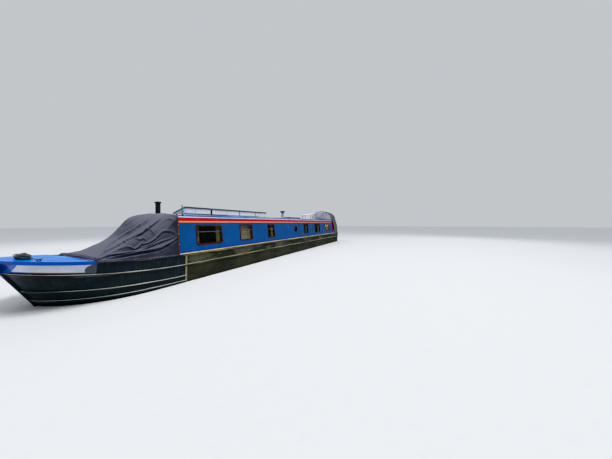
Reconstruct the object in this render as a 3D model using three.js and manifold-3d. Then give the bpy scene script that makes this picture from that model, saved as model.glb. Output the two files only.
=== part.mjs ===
// A narrowboat at full size, in millimetres: +X to the bow, +Y to port, +Z up, underside of the hull at z = 0.
// three.js makes each piece, and manifold-3d only joins and cuts them.
import * as THREE from "three";
import { mergeVertices } from "three/addons/utils/BufferGeometryUtils.js";
import Module from "manifold-3d";

const wasm = await Module();
wasm.setup();

// Clearances.
const GAP = 0.3; // between two pieces that rest on each other
const SWING = 6; // between a moving piece and its neighbour
const BUSH = 0.6; // round a shaft in its bearing

// Stations along the hull.
const STEM_X = 8705;
const WELL_X = 7740; // aft end of the foredeck
const WEATHER_X = 5985; // aft end of the two low strakes
const CABIN_FWD_X = 6070;
const CABIN_AFT_X = -6785;
const CABIN_TOE_X = -7045; // the raked foot of the cabin side
const SWIM_X = -4915; // the hull narrows under water from here
const POST_X = -7365; // stern post
const ROUND_X = -7765; // start of the counter's curve
const SHEER_RUN = STEM_X - CABIN_FWD_X; // length over which the deck rises to the stem

// Heights and thicknesses of the hull.
const PLATE = 12;
const COUNTER_Z = 470; // underside of the counter
const DECK_Z = 1220;
const SIDE_THICK = 50;
const GUNWALE_THICK = 30;
const GUNWALE_IN = 880; // inner edge of the side deck
const FLOOR_Z = 150;
const WELL_Z = 720;
const FORE_CAMBER = 25;
const AFT_CAMBER = 15;

// Cabin.
const SIDE_FOOT_Y = 930;
const SIDE_HEAD_Y = 846.8;
const SIDE_TOP_Z = 2120;
const WALL = 45;
const ROOF_HALF = 847;
const ROOF_EDGE_Z = 2144;
const ROOF_TOP_Z = 2205;

/** Collects faces by their corner points, leaving out those that shrink to a line. */
class Skin {
  constructor() {
    this.points = [];
    this.faces = [];
    this.seen = new Map();
  }

  corner(point) {
    const key = point.map((value) => Math.round(value * 1000)).join(" ");
    if (!this.seen.has(key)) {
      this.seen.set(key, this.points.length);
      this.points.push(point);
    }
    return this.seen.get(key);
  }

  tri(a, b, c) {
    const face = [this.corner(a), this.corner(b), this.corner(c)];
    if (new Set(face).size === 3) this.faces.push(face);
  }

  quad(a, b, c, d) {
    this.tri(a, b, c);
    this.tri(a, c, d);
  }

  geometry() {
    const geometry = new THREE.BufferGeometry();
    geometry.setAttribute("position", new THREE.Float32BufferAttribute(this.points.flat(), 3));
    geometry.setIndex(this.faces.flat());
    return geometry;
  }
}

/** Six times the volume a geometry encloses, negative when its faces point inwards. */
function signedVolume(positions, index) {
  const [a, b, c] = [new THREE.Vector3(), new THREE.Vector3(), new THREE.Vector3()];
  let sum = 0;
  for (let i = 0; i < index.length; i += 3) {
    a.fromArray(positions, index[i] * 3);
    b.fromArray(positions, index[i + 1] * 3);
    c.fromArray(positions, index[i + 2] * 3);
    sum += a.dot(b.cross(c));
  }
  return sum;
}

/** A closed three.js geometry as a manifold-3d solid with its faces out. */
function solid(geometry) {
  const bare = geometry.index ? geometry.toNonIndexed() : geometry.clone();
  bare.deleteAttribute("normal");
  bare.deleteAttribute("uv");
  const merged = mergeVertices(bare, 1e-3);
  const vertProperties = merged.attributes.position.array;
  const triVerts = new Uint32Array(merged.index.array);
  if (signedVolume(vertProperties, triVerts) < 0) triVerts.reverse();
  return new wasm.Manifold(new wasm.Mesh({ numProp: 3, vertProperties, triVerts }));
}

const join = (...solids) => solids.reduce((whole, next) => whole.add(next));

const mirrored = (body) => body.mirror([0, 1, 0]);

/** A box from its ends on each axis. */
function box([x0, x1], [y0, y1], [z0, z1]) {
  const geometry = new THREE.BoxGeometry(x1 - x0, y1 - y0, z1 - z0);
  geometry.translate((x0 + x1) / 2, (y0 + y1) / 2, (z0 + z1) / 2);
  return solid(geometry);
}

/** A [y, z] outline drawn out along X. */
function alongX(outline, [x0, x1]) {
  const shape = new THREE.Shape(outline.map(([y, z]) => new THREE.Vector2(y, z)));
  const geometry = new THREE.ExtrudeGeometry(shape, { depth: x1 - x0, bevelEnabled: false });
  const turn = new THREE.Matrix4().set(0, 0, 1, x0, 1, 0, 0, 0, 0, 1, 0, 0, 0, 0, 0, 1);
  return solid(geometry.applyMatrix4(turn));
}

/** An [x, z] outline drawn out along Y. */
function alongY(outline, [y0, y1]) {
  const shape = new THREE.Shape(outline.map(([x, z]) => new THREE.Vector2(x, z)));
  const geometry = new THREE.ExtrudeGeometry(shape, { depth: y1 - y0, bevelEnabled: false });
  const turn = new THREE.Matrix4().set(1, 0, 0, 0, 0, 0, -1, y1, 0, 1, 0, 0, 0, 0, 0, 1);
  return solid(geometry.applyMatrix4(turn));
}

/** A turned body from [radius, height] points, upright at a place. */
function turned(profile, sides, [x, y, z]) {
  const points = profile.map(([radius, height]) => new THREE.Vector2(radius, height));
  const geometry = new THREE.LatheGeometry(points, sides).rotateX(Math.PI / 2);
  return solid(geometry.translate(x, y, z));
}

/** A round bar between two points. */
function bar(from, to, radius, sides = 12) {
  const start = new THREE.Vector3(...from);
  const run = new THREE.Vector3(...to).sub(start);
  const geometry = new THREE.CylinderGeometry(radius, radius, run.length(), sides);
  const turn = new THREE.Quaternion().setFromUnitVectors(new THREE.Vector3(0, 1, 0), run.clone().normalize());
  geometry.applyQuaternion(turn);
  geometry.translate(...start.addScaledVector(run, 0.5).toArray());
  return solid(geometry);
}

/** A closed body through rings that all have the same number of points. */
function throughRings(rings) {
  const skin = new Skin();
  const count = rings[0].length;
  for (let k = 0; k + 1 < rings.length; k++)
    for (let i = 0; i < count; i++) {
      const j = (i + 1) % count;
      skin.quad(rings[k][i], rings[k][j], rings[k + 1][j], rings[k + 1][i]);
    }
  const [head, tail] = [rings[0], rings[rings.length - 1]];
  for (let i = 1; i + 1 < count; i++) {
    skin.tri(head[0], head[i + 1], head[i]);
    skin.tri(tail[0], tail[i], tail[i + 1]);
  }
  return solid(skin.geometry());
}

/** A round bar bent along a smooth path. */
function bent(path, radius, steps, sides = 8) {
  const curve = new THREE.CatmullRomCurve3(path.map((point) => new THREE.Vector3(...point)), false, "centripetal");
  const frames = curve.computeFrenetFrames(steps, false);
  const rings = [];
  for (let k = 0; k <= steps; k++) {
    const centre = curve.getPointAt(k / steps);
    const ring = [];
    for (let i = 0; i < sides; i++) {
      const angle = (2 * Math.PI * i) / sides;
      const point = centre.clone();
      point.addScaledVector(frames.normals[k], radius * Math.cos(angle));
      point.addScaledVector(frames.binormals[k], radius * Math.sin(angle));
      ring.push(point.toArray());
    }
    rings.push(ring);
  }
  return throughRings(rings);
}

// The hull's outside, level by level: height, rise at the stem, stem, length of the bow curve, half beam, tail.
const LEVELS = [
  { z: 0, rise: 0, stem: 7930, entry: 1800, half: 985, tail: -8500 },
  { z: COUNTER_Z, rise: 80, stem: 8200, entry: 1500, half: 1000, tail: -8560 },
  { z: 900, rise: 200, stem: 8530, entry: 1300, half: 1010, tail: -8640 },
  { z: DECK_Z, rise: 180, stem: STEM_X, entry: 1250, half: 1018, tail: -8665 },
];
const BOW_STEPS = 12;
const STERN_STEPS = 8;
const SHEER_STEPS = 4;
const SIDE_X = [500, SWIM_X, CABIN_AFT_X, ROUND_X]; // stations along the straight sides
const FWD_STATION = BOW_STEPS + SHEER_STEPS; // at the cabin's front
const SWIM_STATION = FWD_STATION + 1 + SIDE_X.indexOf(SWIM_X);
const LAST_STATION = FWD_STATION + SIDE_X.length + STERN_STEPS;

const rise = (aftOfStem) => Math.max(0, 1 - aftOfStem / SHEER_RUN) ** 1.8;

/** How full the bow's plan curve is, from 0 at the stem to 1 at its aft end. */
const bowFullness = (u) => (1 - (1 - u) ** 2.2) ** 0.625;

/** How full the counter's plan curve is, from 1 at its start to 0 at the tail. */
const sternFullness = (w) => Math.sqrt(Math.max(0, 1 - w ** 2.3));

/** The port side's outline at one level, from the stem to the tail, moved in by an inset. */
function outline(level, inset = 0) {
  const points = [];
  const place = (x, y) => points.push([x, y, level.z + level.rise * rise(level.stem - x)]);
  const inboard = (y) => (inset ? Math.max(5, y - inset) : y);
  for (let i = 0; i <= BOW_STEPS; i++) {
    const u = (i / BOW_STEPS) ** 1.5;
    place(level.stem - level.entry * u, inboard(level.half * bowFullness(u)));
  }
  const end = level.stem - level.entry;
  for (let i = 1; i <= SHEER_STEPS; i++) place(end + ((CABIN_FWD_X - end) * i) / SHEER_STEPS, inboard(level.half));
  for (const x of SIDE_X) place(x, inboard(level.half));
  for (let i = 1; i <= STERN_STEPS; i++) {
    const w = Math.sin(((i / STERN_STEPS) * Math.PI) / 2);
    place(ROUND_X + (level.tail - ROUND_X) * w, inboard(i < STERN_STEPS ? level.half * sternFullness(w) : 0));
  }
  return points;
}

/** A closed body through port-side outlines and their mirror images, with its top raised along the middle. */
function hullBody(levels, camber) {
  const skin = new Skin();
  const flip = ([x, y, z]) => [x, -y, z];
  const top = levels.length - 1;
  const middle = (k, i) => [levels[k][i][0], 0, levels[k][i][2] + (k === top ? camber : 0)];
  const both = (a, b, c, d) => {
    skin.quad(a, b, c, d);
    skin.quad(flip(d), flip(c), flip(b), flip(a));
  };
  const last = levels[0].length - 1;
  for (let i = 0; i < last; i++) {
    for (let k = 0; k < top; k++) both(levels[k][i], levels[k][i + 1], levels[k + 1][i + 1], levels[k + 1][i]);
    both(levels[0][i], middle(0, i), middle(0, i + 1), levels[0][i + 1]);
    both(levels[top][i], levels[top][i + 1], middle(top, i + 1), middle(top, i));
  }
  for (let k = 0; k < top; k++) {
    both(levels[k][0], levels[k + 1][0], middle(k + 1, 0), middle(k, 0));
    both(middle(k, last), middle(k + 1, last), levels[k + 1][last], levels[k][last]);
  }
  return solid(skin.geometry());
}

/** The point of the hull side at a station and a height, and the direction that points out of it. */
function sideAt(outlines, station, height) {
  const pick = (i) => {
    let k = 0;
    while (k + 2 < outlines.length && outlines[k + 1][i][2] < height) k++;
    const [low, high] = [outlines[k][i], outlines[k + 1][i]];
    const t = (height - low[2]) / (high[2] - low[2]);
    return low.map((value, axis) => value + (high[axis] - value) * t);
  };
  const point = pick(station);
  if (station === 0) return { point, out: [1, 0] };
  if (station === LAST_STATION) return { point, out: [-1, 0] };
  const [fore, aft] = [pick(station - 1), pick(station + 1)];
  const [dx, dy] = [aft[0] - fore[0], aft[1] - fore[1]];
  const size = Math.hypot(dx, dy);
  return { point, out: [dy / size, -dx / size] };
}

const GUARD_OUT = 23.5;
const GUARD_ROOT = 8;

/** A rubbing strake along the port side, from the stem to a station. */
function strake(outlines, { top, tall, rise: lift }, lastStation) {
  const rings = [];
  for (let i = 0; i <= lastStation; i++) {
    const aftOfStem = STEM_X - outlines[outlines.length - 1][i][0];
    const height = top + lift * rise(aftOfStem);
    const ring = [];
    for (const [z, out] of [[height - tall, -GUARD_ROOT], [height - tall, GUARD_OUT], [height, GUARD_OUT], [height, -GUARD_ROOT]]) {
      const side = sideAt(outlines, i, z);
      ring.push([side.point[0] + side.out[0] * out, side.point[1] + side.out[1] * out, z]);
    }
    rings.push(ring);
  }
  return throughRings(rings);
}

// Finishes: colour, roughness, metalness.
const FINISHES = {
  blacking: [0x1b2120, 0.5, 0.2],
  blue_enamel: [0x004c96, 0.2, 0.1],
  navy_enamel: [0x152c58, 0.45, 0.1],
  brown_frame: [0x3a1e0c, 0.4, 0.3],
  varnished_wood: [0x7a4a22, 0.4, 0],
  bare_wood: [0x94754e, 0.8, 0],
  white_panel: [0xd4d4da, 0.4, 0.2],
  white_paint: [0xdadadc, 0.5, 0.1],
  flue_black: [0x1c1c20, 0.7, 0.3],
  flue_grey: [0xa0a09c, 0.5, 0.4],
  dark_cloth: [0x44434f, 0.9, 0],
  pale_cloth: [0x9a98a8, 0.9, 0],
  steel_tube: [0xb8b8b8, 0.35, 0.9],
  engine_green: [0x40614f, 0.5, 0.2],
  bronze: [0xb08a54, 0.4, 0.9],
  brass: [0xc8a860, 0.2, 1],
  rope: [0x46483e, 0.95, 0],
};

const nodes = [];
const add = (name, finish, body) => nodes.push({ name, finish, body });

/** Adds a port-side body and its mirror image. */
function addPair(name, finish, body) {
  add(name + "_port", finish, body);
  add(name + "_starboard", finish, mirrored(body));
}

// The outside of the hull: everything forward of the swim, and everything aft of it above the counter's underside.
const outlines = LEVELS.map((level) => outline(level));
const foreLevels = outlines.map((points) => points.slice(0, SWIM_STATION + 1));
const aftLevels = outlines.slice(1).map((points) => points.slice(SWIM_STATION));
const foreHull = hullBody(foreLevels, FORE_CAMBER);
const aftHull = hullBody(aftLevels, AFT_CAMBER);

// Strakes: top edge aft, height of the bar, rise at the stem, and where it ends.
const STRAKES = [
  { top: DECK_Z, tall: 55, rise: 180, end: null },
  { top: 952, tall: 45, rise: 215, end: null },
  { top: 682, tall: 40, rise: 140, end: WEATHER_X },
  { top: 560, tall: 40, rise: 70, end: WEATHER_X },
];
let guards = null;
for (const row of STRAKES) {
  const whole = row.end === null;
  let body = strake(outlines.slice(1), row, whole ? LAST_STATION : FWD_STATION + 1);
  if (!whole) body = body.trimByPlane([1, 0, 0], row.end);
  body = join(body, mirrored(body));
  guards = guards ? join(guards, body) : body;
}

// The stem bar, along the front of the bow.
const stemLine = LEVELS.map((level) => [level.stem, level.z + level.rise]);
const stemBar = alongY([...stemLine.map(([x, z]) => [x + 35, z]), ...[...stemLine].reverse().map(([x, z]) => [x - 60, z])], [-20, 20]);

/** The room inside the hull's sides, below the side decks, less a clearance. */
function insideHull(clear) {
  const top = GUNWALE_THICK + clear;
  const levels = LEVELS.map((level, k) => {
    const points = outline(level, SIDE_THICK + clear);
    return k === LEVELS.length - 1 ? points.map(([x, y, z]) => [x, y, z - top]) : points;
  });
  const fore = hullBody(levels.map((points) => points.slice(0, SWIM_STATION + 1)), 0);
  const aft = hullBody(levels.slice(1).map((points) => points.slice(SWIM_STATION)), 0);
  return join(fore, aft);
}

/** The room between the cabin's two sides, less a clearance. */
function insideCabin(clear, [x0, x1]) {
  const foot = SIDE_FOOT_Y - WALL - clear;
  const head = SIDE_HEAD_Y - WALL - clear;
  return alongX([[-foot, DECK_Z + GAP], [foot, DECK_Z + GAP], [head, SIDE_TOP_Z], [-head, SIDE_TOP_Z]], [x0, x1]);
}

/** The whole section inside the hull and cabin, cut out between two stations and two heights. */
function section([x0, x1], [z0, z1]) {
  const neck = box([x0 - 1, x1 + 1], [-GUNWALE_IN + GAP, GUNWALE_IN - GAP], [DECK_Z - 200, DECK_Z + 1]);
  const all = join(insideHull(GAP), neck, insideCabin(GAP, [x0 - 1, x1 + 1]));
  return all.intersect(box([x0, x1], [-1200, 1200], [z0, z1]));
}

// Hull sides, with their side decks and strakes.
const shell = join(hullBody(foreLevels, 0), hullBody(aftLevels, 0), guards);
const room = join(insideHull(0), box([CABIN_AFT_X - 1, WELL_X], [-GUNWALE_IN, GUNWALE_IN], [DECK_Z - 70, 1700]));
const sides = shell.subtract(room).subtract(box([-9000, SWIM_X], [-1200, 1200], [-10, COUNTER_Z + PLATE + GAP]));
const portSide = sides.intersect(box([CABIN_AFT_X, WELL_X - GAP], [0, 1200], [PLATE + GAP, 1700]));
addPair("hull_side", "blacking", portSide);

// Fore end, solid under its deck, with the stem bar and a capped mooring stud.
const STUD = { x: 8325, radius: 25, tall: 84, cap: 32, capTall: 12 };
const deckAt = (x) => DECK_Z + 180 * rise(STEM_X - x) + FORE_CAMBER;
const studFoot = deckAt(STUD.x);
const stud = join(
  bar([STUD.x, 0, studFoot - 30], [STUD.x, 0, studFoot + STUD.tall], STUD.radius, 16),
  bar([STUD.x, 0, studFoot + STUD.tall - STUD.capTall], [STUD.x, 0, studFoot + STUD.tall], STUD.cap, 16),
);
const foreEnd = join(foreHull, guards, stemBar).intersect(box([WELL_X, 9000], [-1200, 1200], [PLATE + GAP, 1700]));
add("fore_end", "blacking", join(foreEnd, stud));

// Base plate: the hull's bottom, the bottom of the swim and the skeg that carries the rudder's foot.
const STOCK = { x: -7965, radius: 25 };
const SKEG = { tall: 30, half: 35, aft: STOCK.x - 60 };
const SWIM_STEPS = 10;

/** The swim's port outline at one level. */
function swimOutline(z, post, half) {
  const points = [];
  for (let i = 0; i <= SWIM_STEPS; i++) {
    const w = 1 - i / SWIM_STEPS;
    const x = POST_X + (SWIM_X - POST_X) * w;
    points.push([x, post + (half - post) * Math.sin((w * Math.PI) / 2) ** 1.2, z]);
  }
  return points;
}
const swimBody = hullBody([swimOutline(0, 25, LEVELS[0].half), swimOutline(COUNTER_Z - GAP, 40, LEVELS[1].half)], 0);
const wideSlab = box([-9000, 9000], [-1200, 1200], [0, PLATE]);
const skeg = box([SKEG.aft, -6900], [-SKEG.half, SKEG.half], [0, SKEG.tall]);
add("base_plate", "blacking", join(join(foreHull, swimBody).intersect(wideSlab), skeg));

// Swim, with the stern tube that the propeller shaft turns in.
const SHAFT = { z: 247, radius: 20, tube: 40, tubeEnd: -7425, inner: -7180 };
const swimTop = swimBody.intersect(box([-9000, SWIM_X - GAP], [-1200, 1200], [PLATE + GAP, COUNTER_Z - GAP]));
const sternTube = bar([POST_X + 200, 0, SHAFT.z], [SHAFT.tubeEnd, 0, SHAFT.z], SHAFT.tube, 20);
const shaftRoom = bar([SHAFT.inner + 15, 0, SHAFT.z], [SHAFT.tubeEnd + 30, 0, SHAFT.z], SHAFT.radius + SWING, 20);
const shaftBush = bar([SHAFT.inner, 0, SHAFT.z], [SHAFT.tubeEnd - 5, 0, SHAFT.z], SHAFT.radius + BUSH, 20);
const shaftBore = join(shaftRoom, shaftBush);
const skegRoom = box([SKEG.aft - 1, -6899], [-SKEG.half - GAP, SKEG.half + GAP], [0, SKEG.tall + GAP]);
add("swim", "blacking", join(swimTop, sternTube).subtract(shaftBore).subtract(skegRoom));

// Counter: the solid stern under the aft deck, its plate forward to the swim, two dollies and the rudder tube.
const COUNTER_FWD_X = CABIN_AFT_X - GAP;
const counterBlock = join(aftHull, guards).intersect(box([-9000, COUNTER_FWD_X], [-1200, 1200], [COUNTER_Z, 1700]));
const counterPlate = aftHull.intersect(box([-9000, SWIM_X - GAP], [-1200, 1200], [COUNTER_Z, COUNTER_Z + PLATE]));
const dollyProfile = [[0, 0], [26, 0], [22, 60], [22, 95], [38, 105], [38, 125], [0, 132]];
const dolly = turned(dollyProfile, 16, [-8140, 640, DECK_Z]);
const rudderTube = join(
  bar([STOCK.x, 0, COUNTER_Z - 10], [STOCK.x, 0, DECK_Z - 30], STOCK.radius + SWING, 20),
  bar([STOCK.x, 0, COUNTER_Z], [STOCK.x, 0, DECK_Z + 60], STOCK.radius + BUSH, 20),
);
add("counter", "blacking", join(counterBlock, counterPlate, dolly, mirrored(dolly)).subtract(rudderTube));

// Floors.
add("cabin_floor", "bare_wood", section([SWIM_X, CABIN_FWD_X - GAP], [PLATE + GAP, FLOOR_Z]));
add("well_deck", "bare_wood", section([CABIN_FWD_X + GAP, WELL_X - GAP], [PLATE + GAP, WELL_Z]));

// Cabin sides. A window unit stands square to the side, which leans inwards.
const LEAN = Math.atan2(SIDE_FOOT_Y - SIDE_HEAD_Y, SIDE_TOP_Z - DECK_Z - GAP);
const sideY = (z) => SIDE_FOOT_Y - (z - DECK_Z - GAP) * Math.tan(LEAN);

/** The placing of a window on the port side: its own Y up the side, its own Z outwards. */
function sideFrame(x, z) {
  const up = new THREE.Vector3(0, -Math.sin(LEAN), Math.cos(LEAN));
  const out = new THREE.Vector3(0, Math.cos(LEAN), Math.sin(LEAN));
  return new THREE.Matrix4().makeBasis(new THREE.Vector3(-1, 0, 0), up, out).setPosition(x, sideY(z), z);
}

/** A rectangle with rounded corners, about its centre. */
function roundedShape(wide, tall, radius) {
  const [w, h] = [wide / 2, tall / 2];
  const shape = new THREE.Shape();
  const corners = [[w - radius, h - radius, 0], [radius - w, h - radius, 1], [radius - w, radius - h, 2], [w - radius, radius - h, 3]];
  for (const [x, y, turn] of corners) shape.absarc(x, y, radius, (turn * Math.PI) / 2, ((turn + 1) * Math.PI) / 2, false);
  return shape;
}

/** A flat slice of a window unit: a shape between two depths, with a hole if one is given. */
function slice(shape, hole, [low, high], frame) {
  const cut = shape.clone();
  if (hole) cut.holes.push(hole);
  const curveSegments = shape.curves.length > 1 ? 1 : 12; // three.js doubles it on an arc
  const geometry = new THREE.ExtrudeGeometry(cut, { depth: high - low, bevelEnabled: false, curveSegments });
  return solid(geometry.translate(0, 0, low).applyMatrix4(frame));
}

// Windows on each side: forward edge, aft edge, bottom, top. A round one has a radius instead.
const WINDOWS = [
  { name: "window_1", x1: 5562, x0: 4608, z0: 1375, z1: 1924 },
  { name: "window_2", x1: 3793, x0: 3103, z0: 1375, z1: 1924 },
  { name: "window_3", x1: 2088, x0: 1560, z0: 1375, z1: 1924 },
  { name: "porthole", x1: -327, x0: -657, z0: 1503, z1: 1833 },
  { name: "window_4", x1: -1536, x0: -2131, z0: 1375, z1: 1924 },
  { name: "window_5", x1: -3161, x0: -4061, z0: 1375, z1: 1924 },
];
const FRAME = { lap: 20, bead: 20, proud: 8, corner: 50, glassOut: -12, glassIn: -20 };

const sideOutline = [[SIDE_FOOT_Y, DECK_Z + GAP], [SIDE_HEAD_Y, SIDE_TOP_Z], [SIDE_HEAD_Y - WALL, SIDE_TOP_Z], [SIDE_FOOT_Y - WALL, DECK_Z + GAP]];
const rakeCut = [[CABIN_AFT_X, SIDE_TOP_Z + 1], [CABIN_TOE_X - 100, SIDE_TOP_Z + 1], [CABIN_TOE_X - 100, DECK_Z - 1], [CABIN_TOE_X, DECK_Z - 1]];
let cabinSide = alongX(sideOutline, [CABIN_TOE_X, CABIN_FWD_X]).subtract(alongY(rakeCut, [700, 1000]));
cabinSide = cabinSide.subtract(counterBlock.translate([0, 0, GAP]));
for (const { name, x0, x1, z0, z1 } of WINDOWS) {
  const frame = sideFrame((x0 + x1) / 2, (z0 + z1) / 2);
  const wide = x1 - x0;
  const tall = (z1 - z0) / Math.cos(LEAN);
  const round = name === "porthole";
  const ring = (cut) => {
    if (!round) return roundedShape(wide - 2 * cut, tall - 2 * cut, Math.max(12, FRAME.corner - cut));
    const shape = new THREE.Shape();
    shape.absarc(0, 0, wide / 2 - cut, 0, 2 * Math.PI, false);
    return shape;
  };
  const hole = ring(FRAME.lap + FRAME.bead);
  cabinSide = cabinSide.subtract(slice(ring(FRAME.lap), null, [-WALL - 20, 20], frame));
  const unit = join(
    slice(ring(0), hole, [GAP, FRAME.proud], frame),
    slice(ring(FRAME.lap + GAP), hole, [0.5 - WALL, GAP + 1], frame),
    slice(ring(FRAME.lap + FRAME.bead - 2), null, [FRAME.glassIn, FRAME.glassOut], frame),
  );
  addPair(name, "brown_frame", unit);
}
addPair("cabin_side", "blue_enamel", cabinSide);

// Roof: cambered, with handrails on feet along its edges, runners and an opening for the slide hatch.
const roofZ = (y) => ROOF_TOP_Z - (ROOF_TOP_Z - ROOF_EDGE_Z) * (y / ROOF_HALF) ** 2;
const ROOF_STEPS = 10;
const roofOutline = [[-ROOF_HALF, SIDE_TOP_Z + GAP], [ROOF_HALF, SIDE_TOP_Z + GAP]];
for (let i = 0; i <= ROOF_STEPS; i++) {
  const y = ROOF_HALF - (2 * ROOF_HALF * i) / ROOF_STEPS;
  roofOutline.push([y, roofZ(y)]);
}
const HATCH = { half: 300, fwd: -6150, runnerIn: 318, runnerOut: 340, runnerTop: 2236, runnerFwd: -5480 };
const RAIL = { y0: 806, y1: 834, z0: 2177, z1: 2205, fwd: 5900, aft: -6760, feet: 11, foot: 40 };
let portRail = box([RAIL.aft, RAIL.fwd], [RAIL.y0, RAIL.y1], [RAIL.z0, RAIL.z1]);
for (let i = 0; i < RAIL.feet; i++) {
  const x = RAIL.aft + RAIL.foot + ((RAIL.fwd - RAIL.aft - 2 * RAIL.foot) * i) / (RAIL.feet - 1);
  portRail = join(portRail, box([x - RAIL.foot / 2, x + RAIL.foot / 2], [RAIL.y0 + 3, RAIL.y1 - 3], [SIDE_TOP_Z + 15, RAIL.z0 + 5]));
}
const runner = box([CABIN_AFT_X + 5, HATCH.runnerFwd], [HATCH.runnerIn, HATCH.runnerOut], [SIDE_TOP_Z + 20, HATCH.runnerTop]);
const roofSlab = alongX(roofOutline, [CABIN_AFT_X, CABIN_FWD_X]);
const hatchway = box([CABIN_AFT_X - 10, HATCH.fwd], [-HATCH.half, HATCH.half], [SIDE_TOP_Z - 10, 2300]);
add("roof", "navy_enamel", join(roofSlab, portRail, mirrored(portRail), runner, mirrored(runner)).subtract(hatchway));

/** Cuts the foot of a roof fitting to the roof's camber. */
const onRoof = (body) => body.subtract(roofSlab.translate([0, 0, GAP]));

// Bulkheads and doors. A door's hinge barrels stand just off the outer face, over the edge of the opening.
const BULKHEAD = 40;
const FRONT_DOOR = { half: 330, z0: 950, z1: 1950 };
const REAR_DOOR = { half: HATCH.half, z0: DECK_Z + AFT_CAMBER + 1, z1: 2230 };
const LEAF = 28;
const HINGE = { radius: 6, off: 6.5, tall: 80 };
const frontWall = section([CABIN_FWD_X - BULKHEAD, CABIN_FWD_X], [FLOOR_Z + GAP, SIDE_TOP_Z]);
const frontHole = box([CABIN_FWD_X - 100, CABIN_FWD_X + 100], [-FRONT_DOOR.half, FRONT_DOOR.half], [FRONT_DOOR.z0, FRONT_DOOR.z1]);
add("front_bulkhead", "blue_enamel", frontWall.subtract(frontHole));
const rearWall = section([CABIN_AFT_X, CABIN_AFT_X + BULKHEAD], [COUNTER_Z + PLATE + GAP, SIDE_TOP_Z]);
const rearHole = box([CABIN_AFT_X - 100, CABIN_AFT_X + 100], [-REAR_DOOR.half, REAR_DOOR.half], [REAR_DOOR.z0, 2300]);
add("rear_bulkhead", "blue_enamel", rearWall.subtract(rearHole));

/** A port door leaf with two hinge barrels, in a wall whose outer face is at x and looks fore (1) or aft (-1). */
function doorLeaf(x, look, half, [z0, z1]) {
  const span = (a, b) => [Math.min(a, b), Math.max(a, b)];
  let leaf = box(span(x - look * LEAF, x), [SWING / 2, half - SWING], [z0, z1]);
  const pin = x + look * HINGE.off;
  for (const foot of [z0 + 110, z1 - 110 - HINGE.tall]) {
    const strap = box(span(x - look * 2, pin), [half - 60, half], [foot, foot + HINGE.tall]);
    const wallRoom = box(span(x - look * 40, x + look * BUSH), [half - 0.5, half + 20], [foot - 1, foot + HINGE.tall + 1]);
    const edge = box(span(x - look * 40, x + look * BUSH), [half - SWING, half + 1], [foot - 1, foot + HINGE.tall + 1]);
    leaf = join(leaf, strap.subtract(wallRoom).subtract(edge), bar([pin, half, foot], [pin, half, foot + HINGE.tall], HINGE.radius));
  }
  return leaf;
}
addPair("front_door", "varnished_wood", doorLeaf(CABIN_FWD_X, 1, FRONT_DOOR.half, [FRONT_DOOR.z0 + SWING, FRONT_DOOR.z1 - SWING]));
addPair("rear_door", "varnished_wood", doorLeaf(CABIN_AFT_X, -1, REAR_DOOR.half, [REAR_DOOR.z0 + SWING, REAR_DOOR.z1]));

// Slide hatch over the rear doors, riding outside its runners.
const LID = { aft: -6800, fwd: -6120, under: 2236.5, top: 2258, inner: HATCH.runnerOut + SWING, outer: 366, skirt: 2212 };
const lidTop = box([LID.aft, LID.fwd], [-LID.outer, LID.outer], [LID.under, LID.top]);
const lidSkirt = box([LID.aft, LID.fwd], [LID.inner, LID.outer], [LID.skirt, LID.under + 5]);
add("slide_hatch", "navy_enamel", join(lidTop, lidSkirt, mirrored(lidSkirt)));

// Solar panels, raised towards port on two legs each: aft edge, forward edge.
const PANELS = [
  { x0: 4676, x1: 5616 },
  { x0: 3346, x1: 4636 },
  { x0: 2406, x1: 3336 },
  { x0: 1626, x1: 2396 },
];
const PANEL = { lowY: 50, highY: 520, lowZ: 2232, highZ: 2395, thick: 30, leg: 30, inFrom: 90 };
const panelZ = (y) => PANEL.lowZ + ((PANEL.highZ - PANEL.lowZ) * (y - PANEL.lowY)) / (PANEL.highY - PANEL.lowY);
PANELS.forEach(({ x0, x1 }, i) => {
  const { lowY, highY, lowZ, highZ, thick, leg, inFrom } = PANEL;
  let body = alongX([[lowY, lowZ], [highY, highZ], [highY, highZ + thick], [lowY, lowZ + thick]], [x0, x1]);
  for (const x of [x0 + inFrom, x1 - inFrom])
    for (const y of [highY - 60, lowY + 20])
      body = join(body, box([x - leg / 2, x + leg / 2], [y, y + leg], [2150, panelZ(y) + 12]));
  add("solar_panel_" + (i + 1), "white_panel", onRoof(body));
});

// Flues, a low box and a rack with a plank on the roof.
const frontFlue = [[0, -40], [90, -40], [90, 30], [62, 36], [62, 360], [88, 372], [84, 396], [0, 420]];
const rearFlue = [[0, -40], [100, -40], [100, 25], [67, 30], [67, 330], [130, 336], [130, 392], [0, 408]];
add("front_flue", "flue_black", onRoof(turned(frontFlue, 20, [5705, -450, 2180])));
add("rear_flue", "flue_grey", onRoof(turned(rearFlue, 20, [-705, 0, 2203])));
add("roof_box", "flue_black", onRoof(box([-2485, -1095], [-200, 200], [2150, 2285])));
const RACK = { y0: 170, y1: 430, post: 30, foreX: -2900, aftX: -4200, foreTop: 2440, aftTop: 2552 };
const rackRail = (y) => box([RACK.aftX - 60, RACK.foreX + 60], [y, y + RACK.post], [2150, 2232]);
let rack = join(rackRail(RACK.y0), rackRail(RACK.y1 - RACK.post));
for (const [x, top] of [[RACK.foreX, RACK.foreTop], [RACK.aftX, RACK.aftTop]]) {
  for (const y of [RACK.y0, RACK.y1 - RACK.post]) rack = join(rack, box([x - 15, x + 15], [y, y + RACK.post], [2200, top]));
  rack = join(rack, box([x - 15, x + 15], [RACK.y0, RACK.y1], [top - RACK.post, top]));
}
add("roof_rack", "white_paint", onRoof(rack));
const rackSlope = (RACK.aftTop - RACK.foreTop) / (RACK.aftX - RACK.foreX);
const plankZ = (x) => RACK.foreTop + rackSlope * (x - RACK.foreX) + 2.2;
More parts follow.
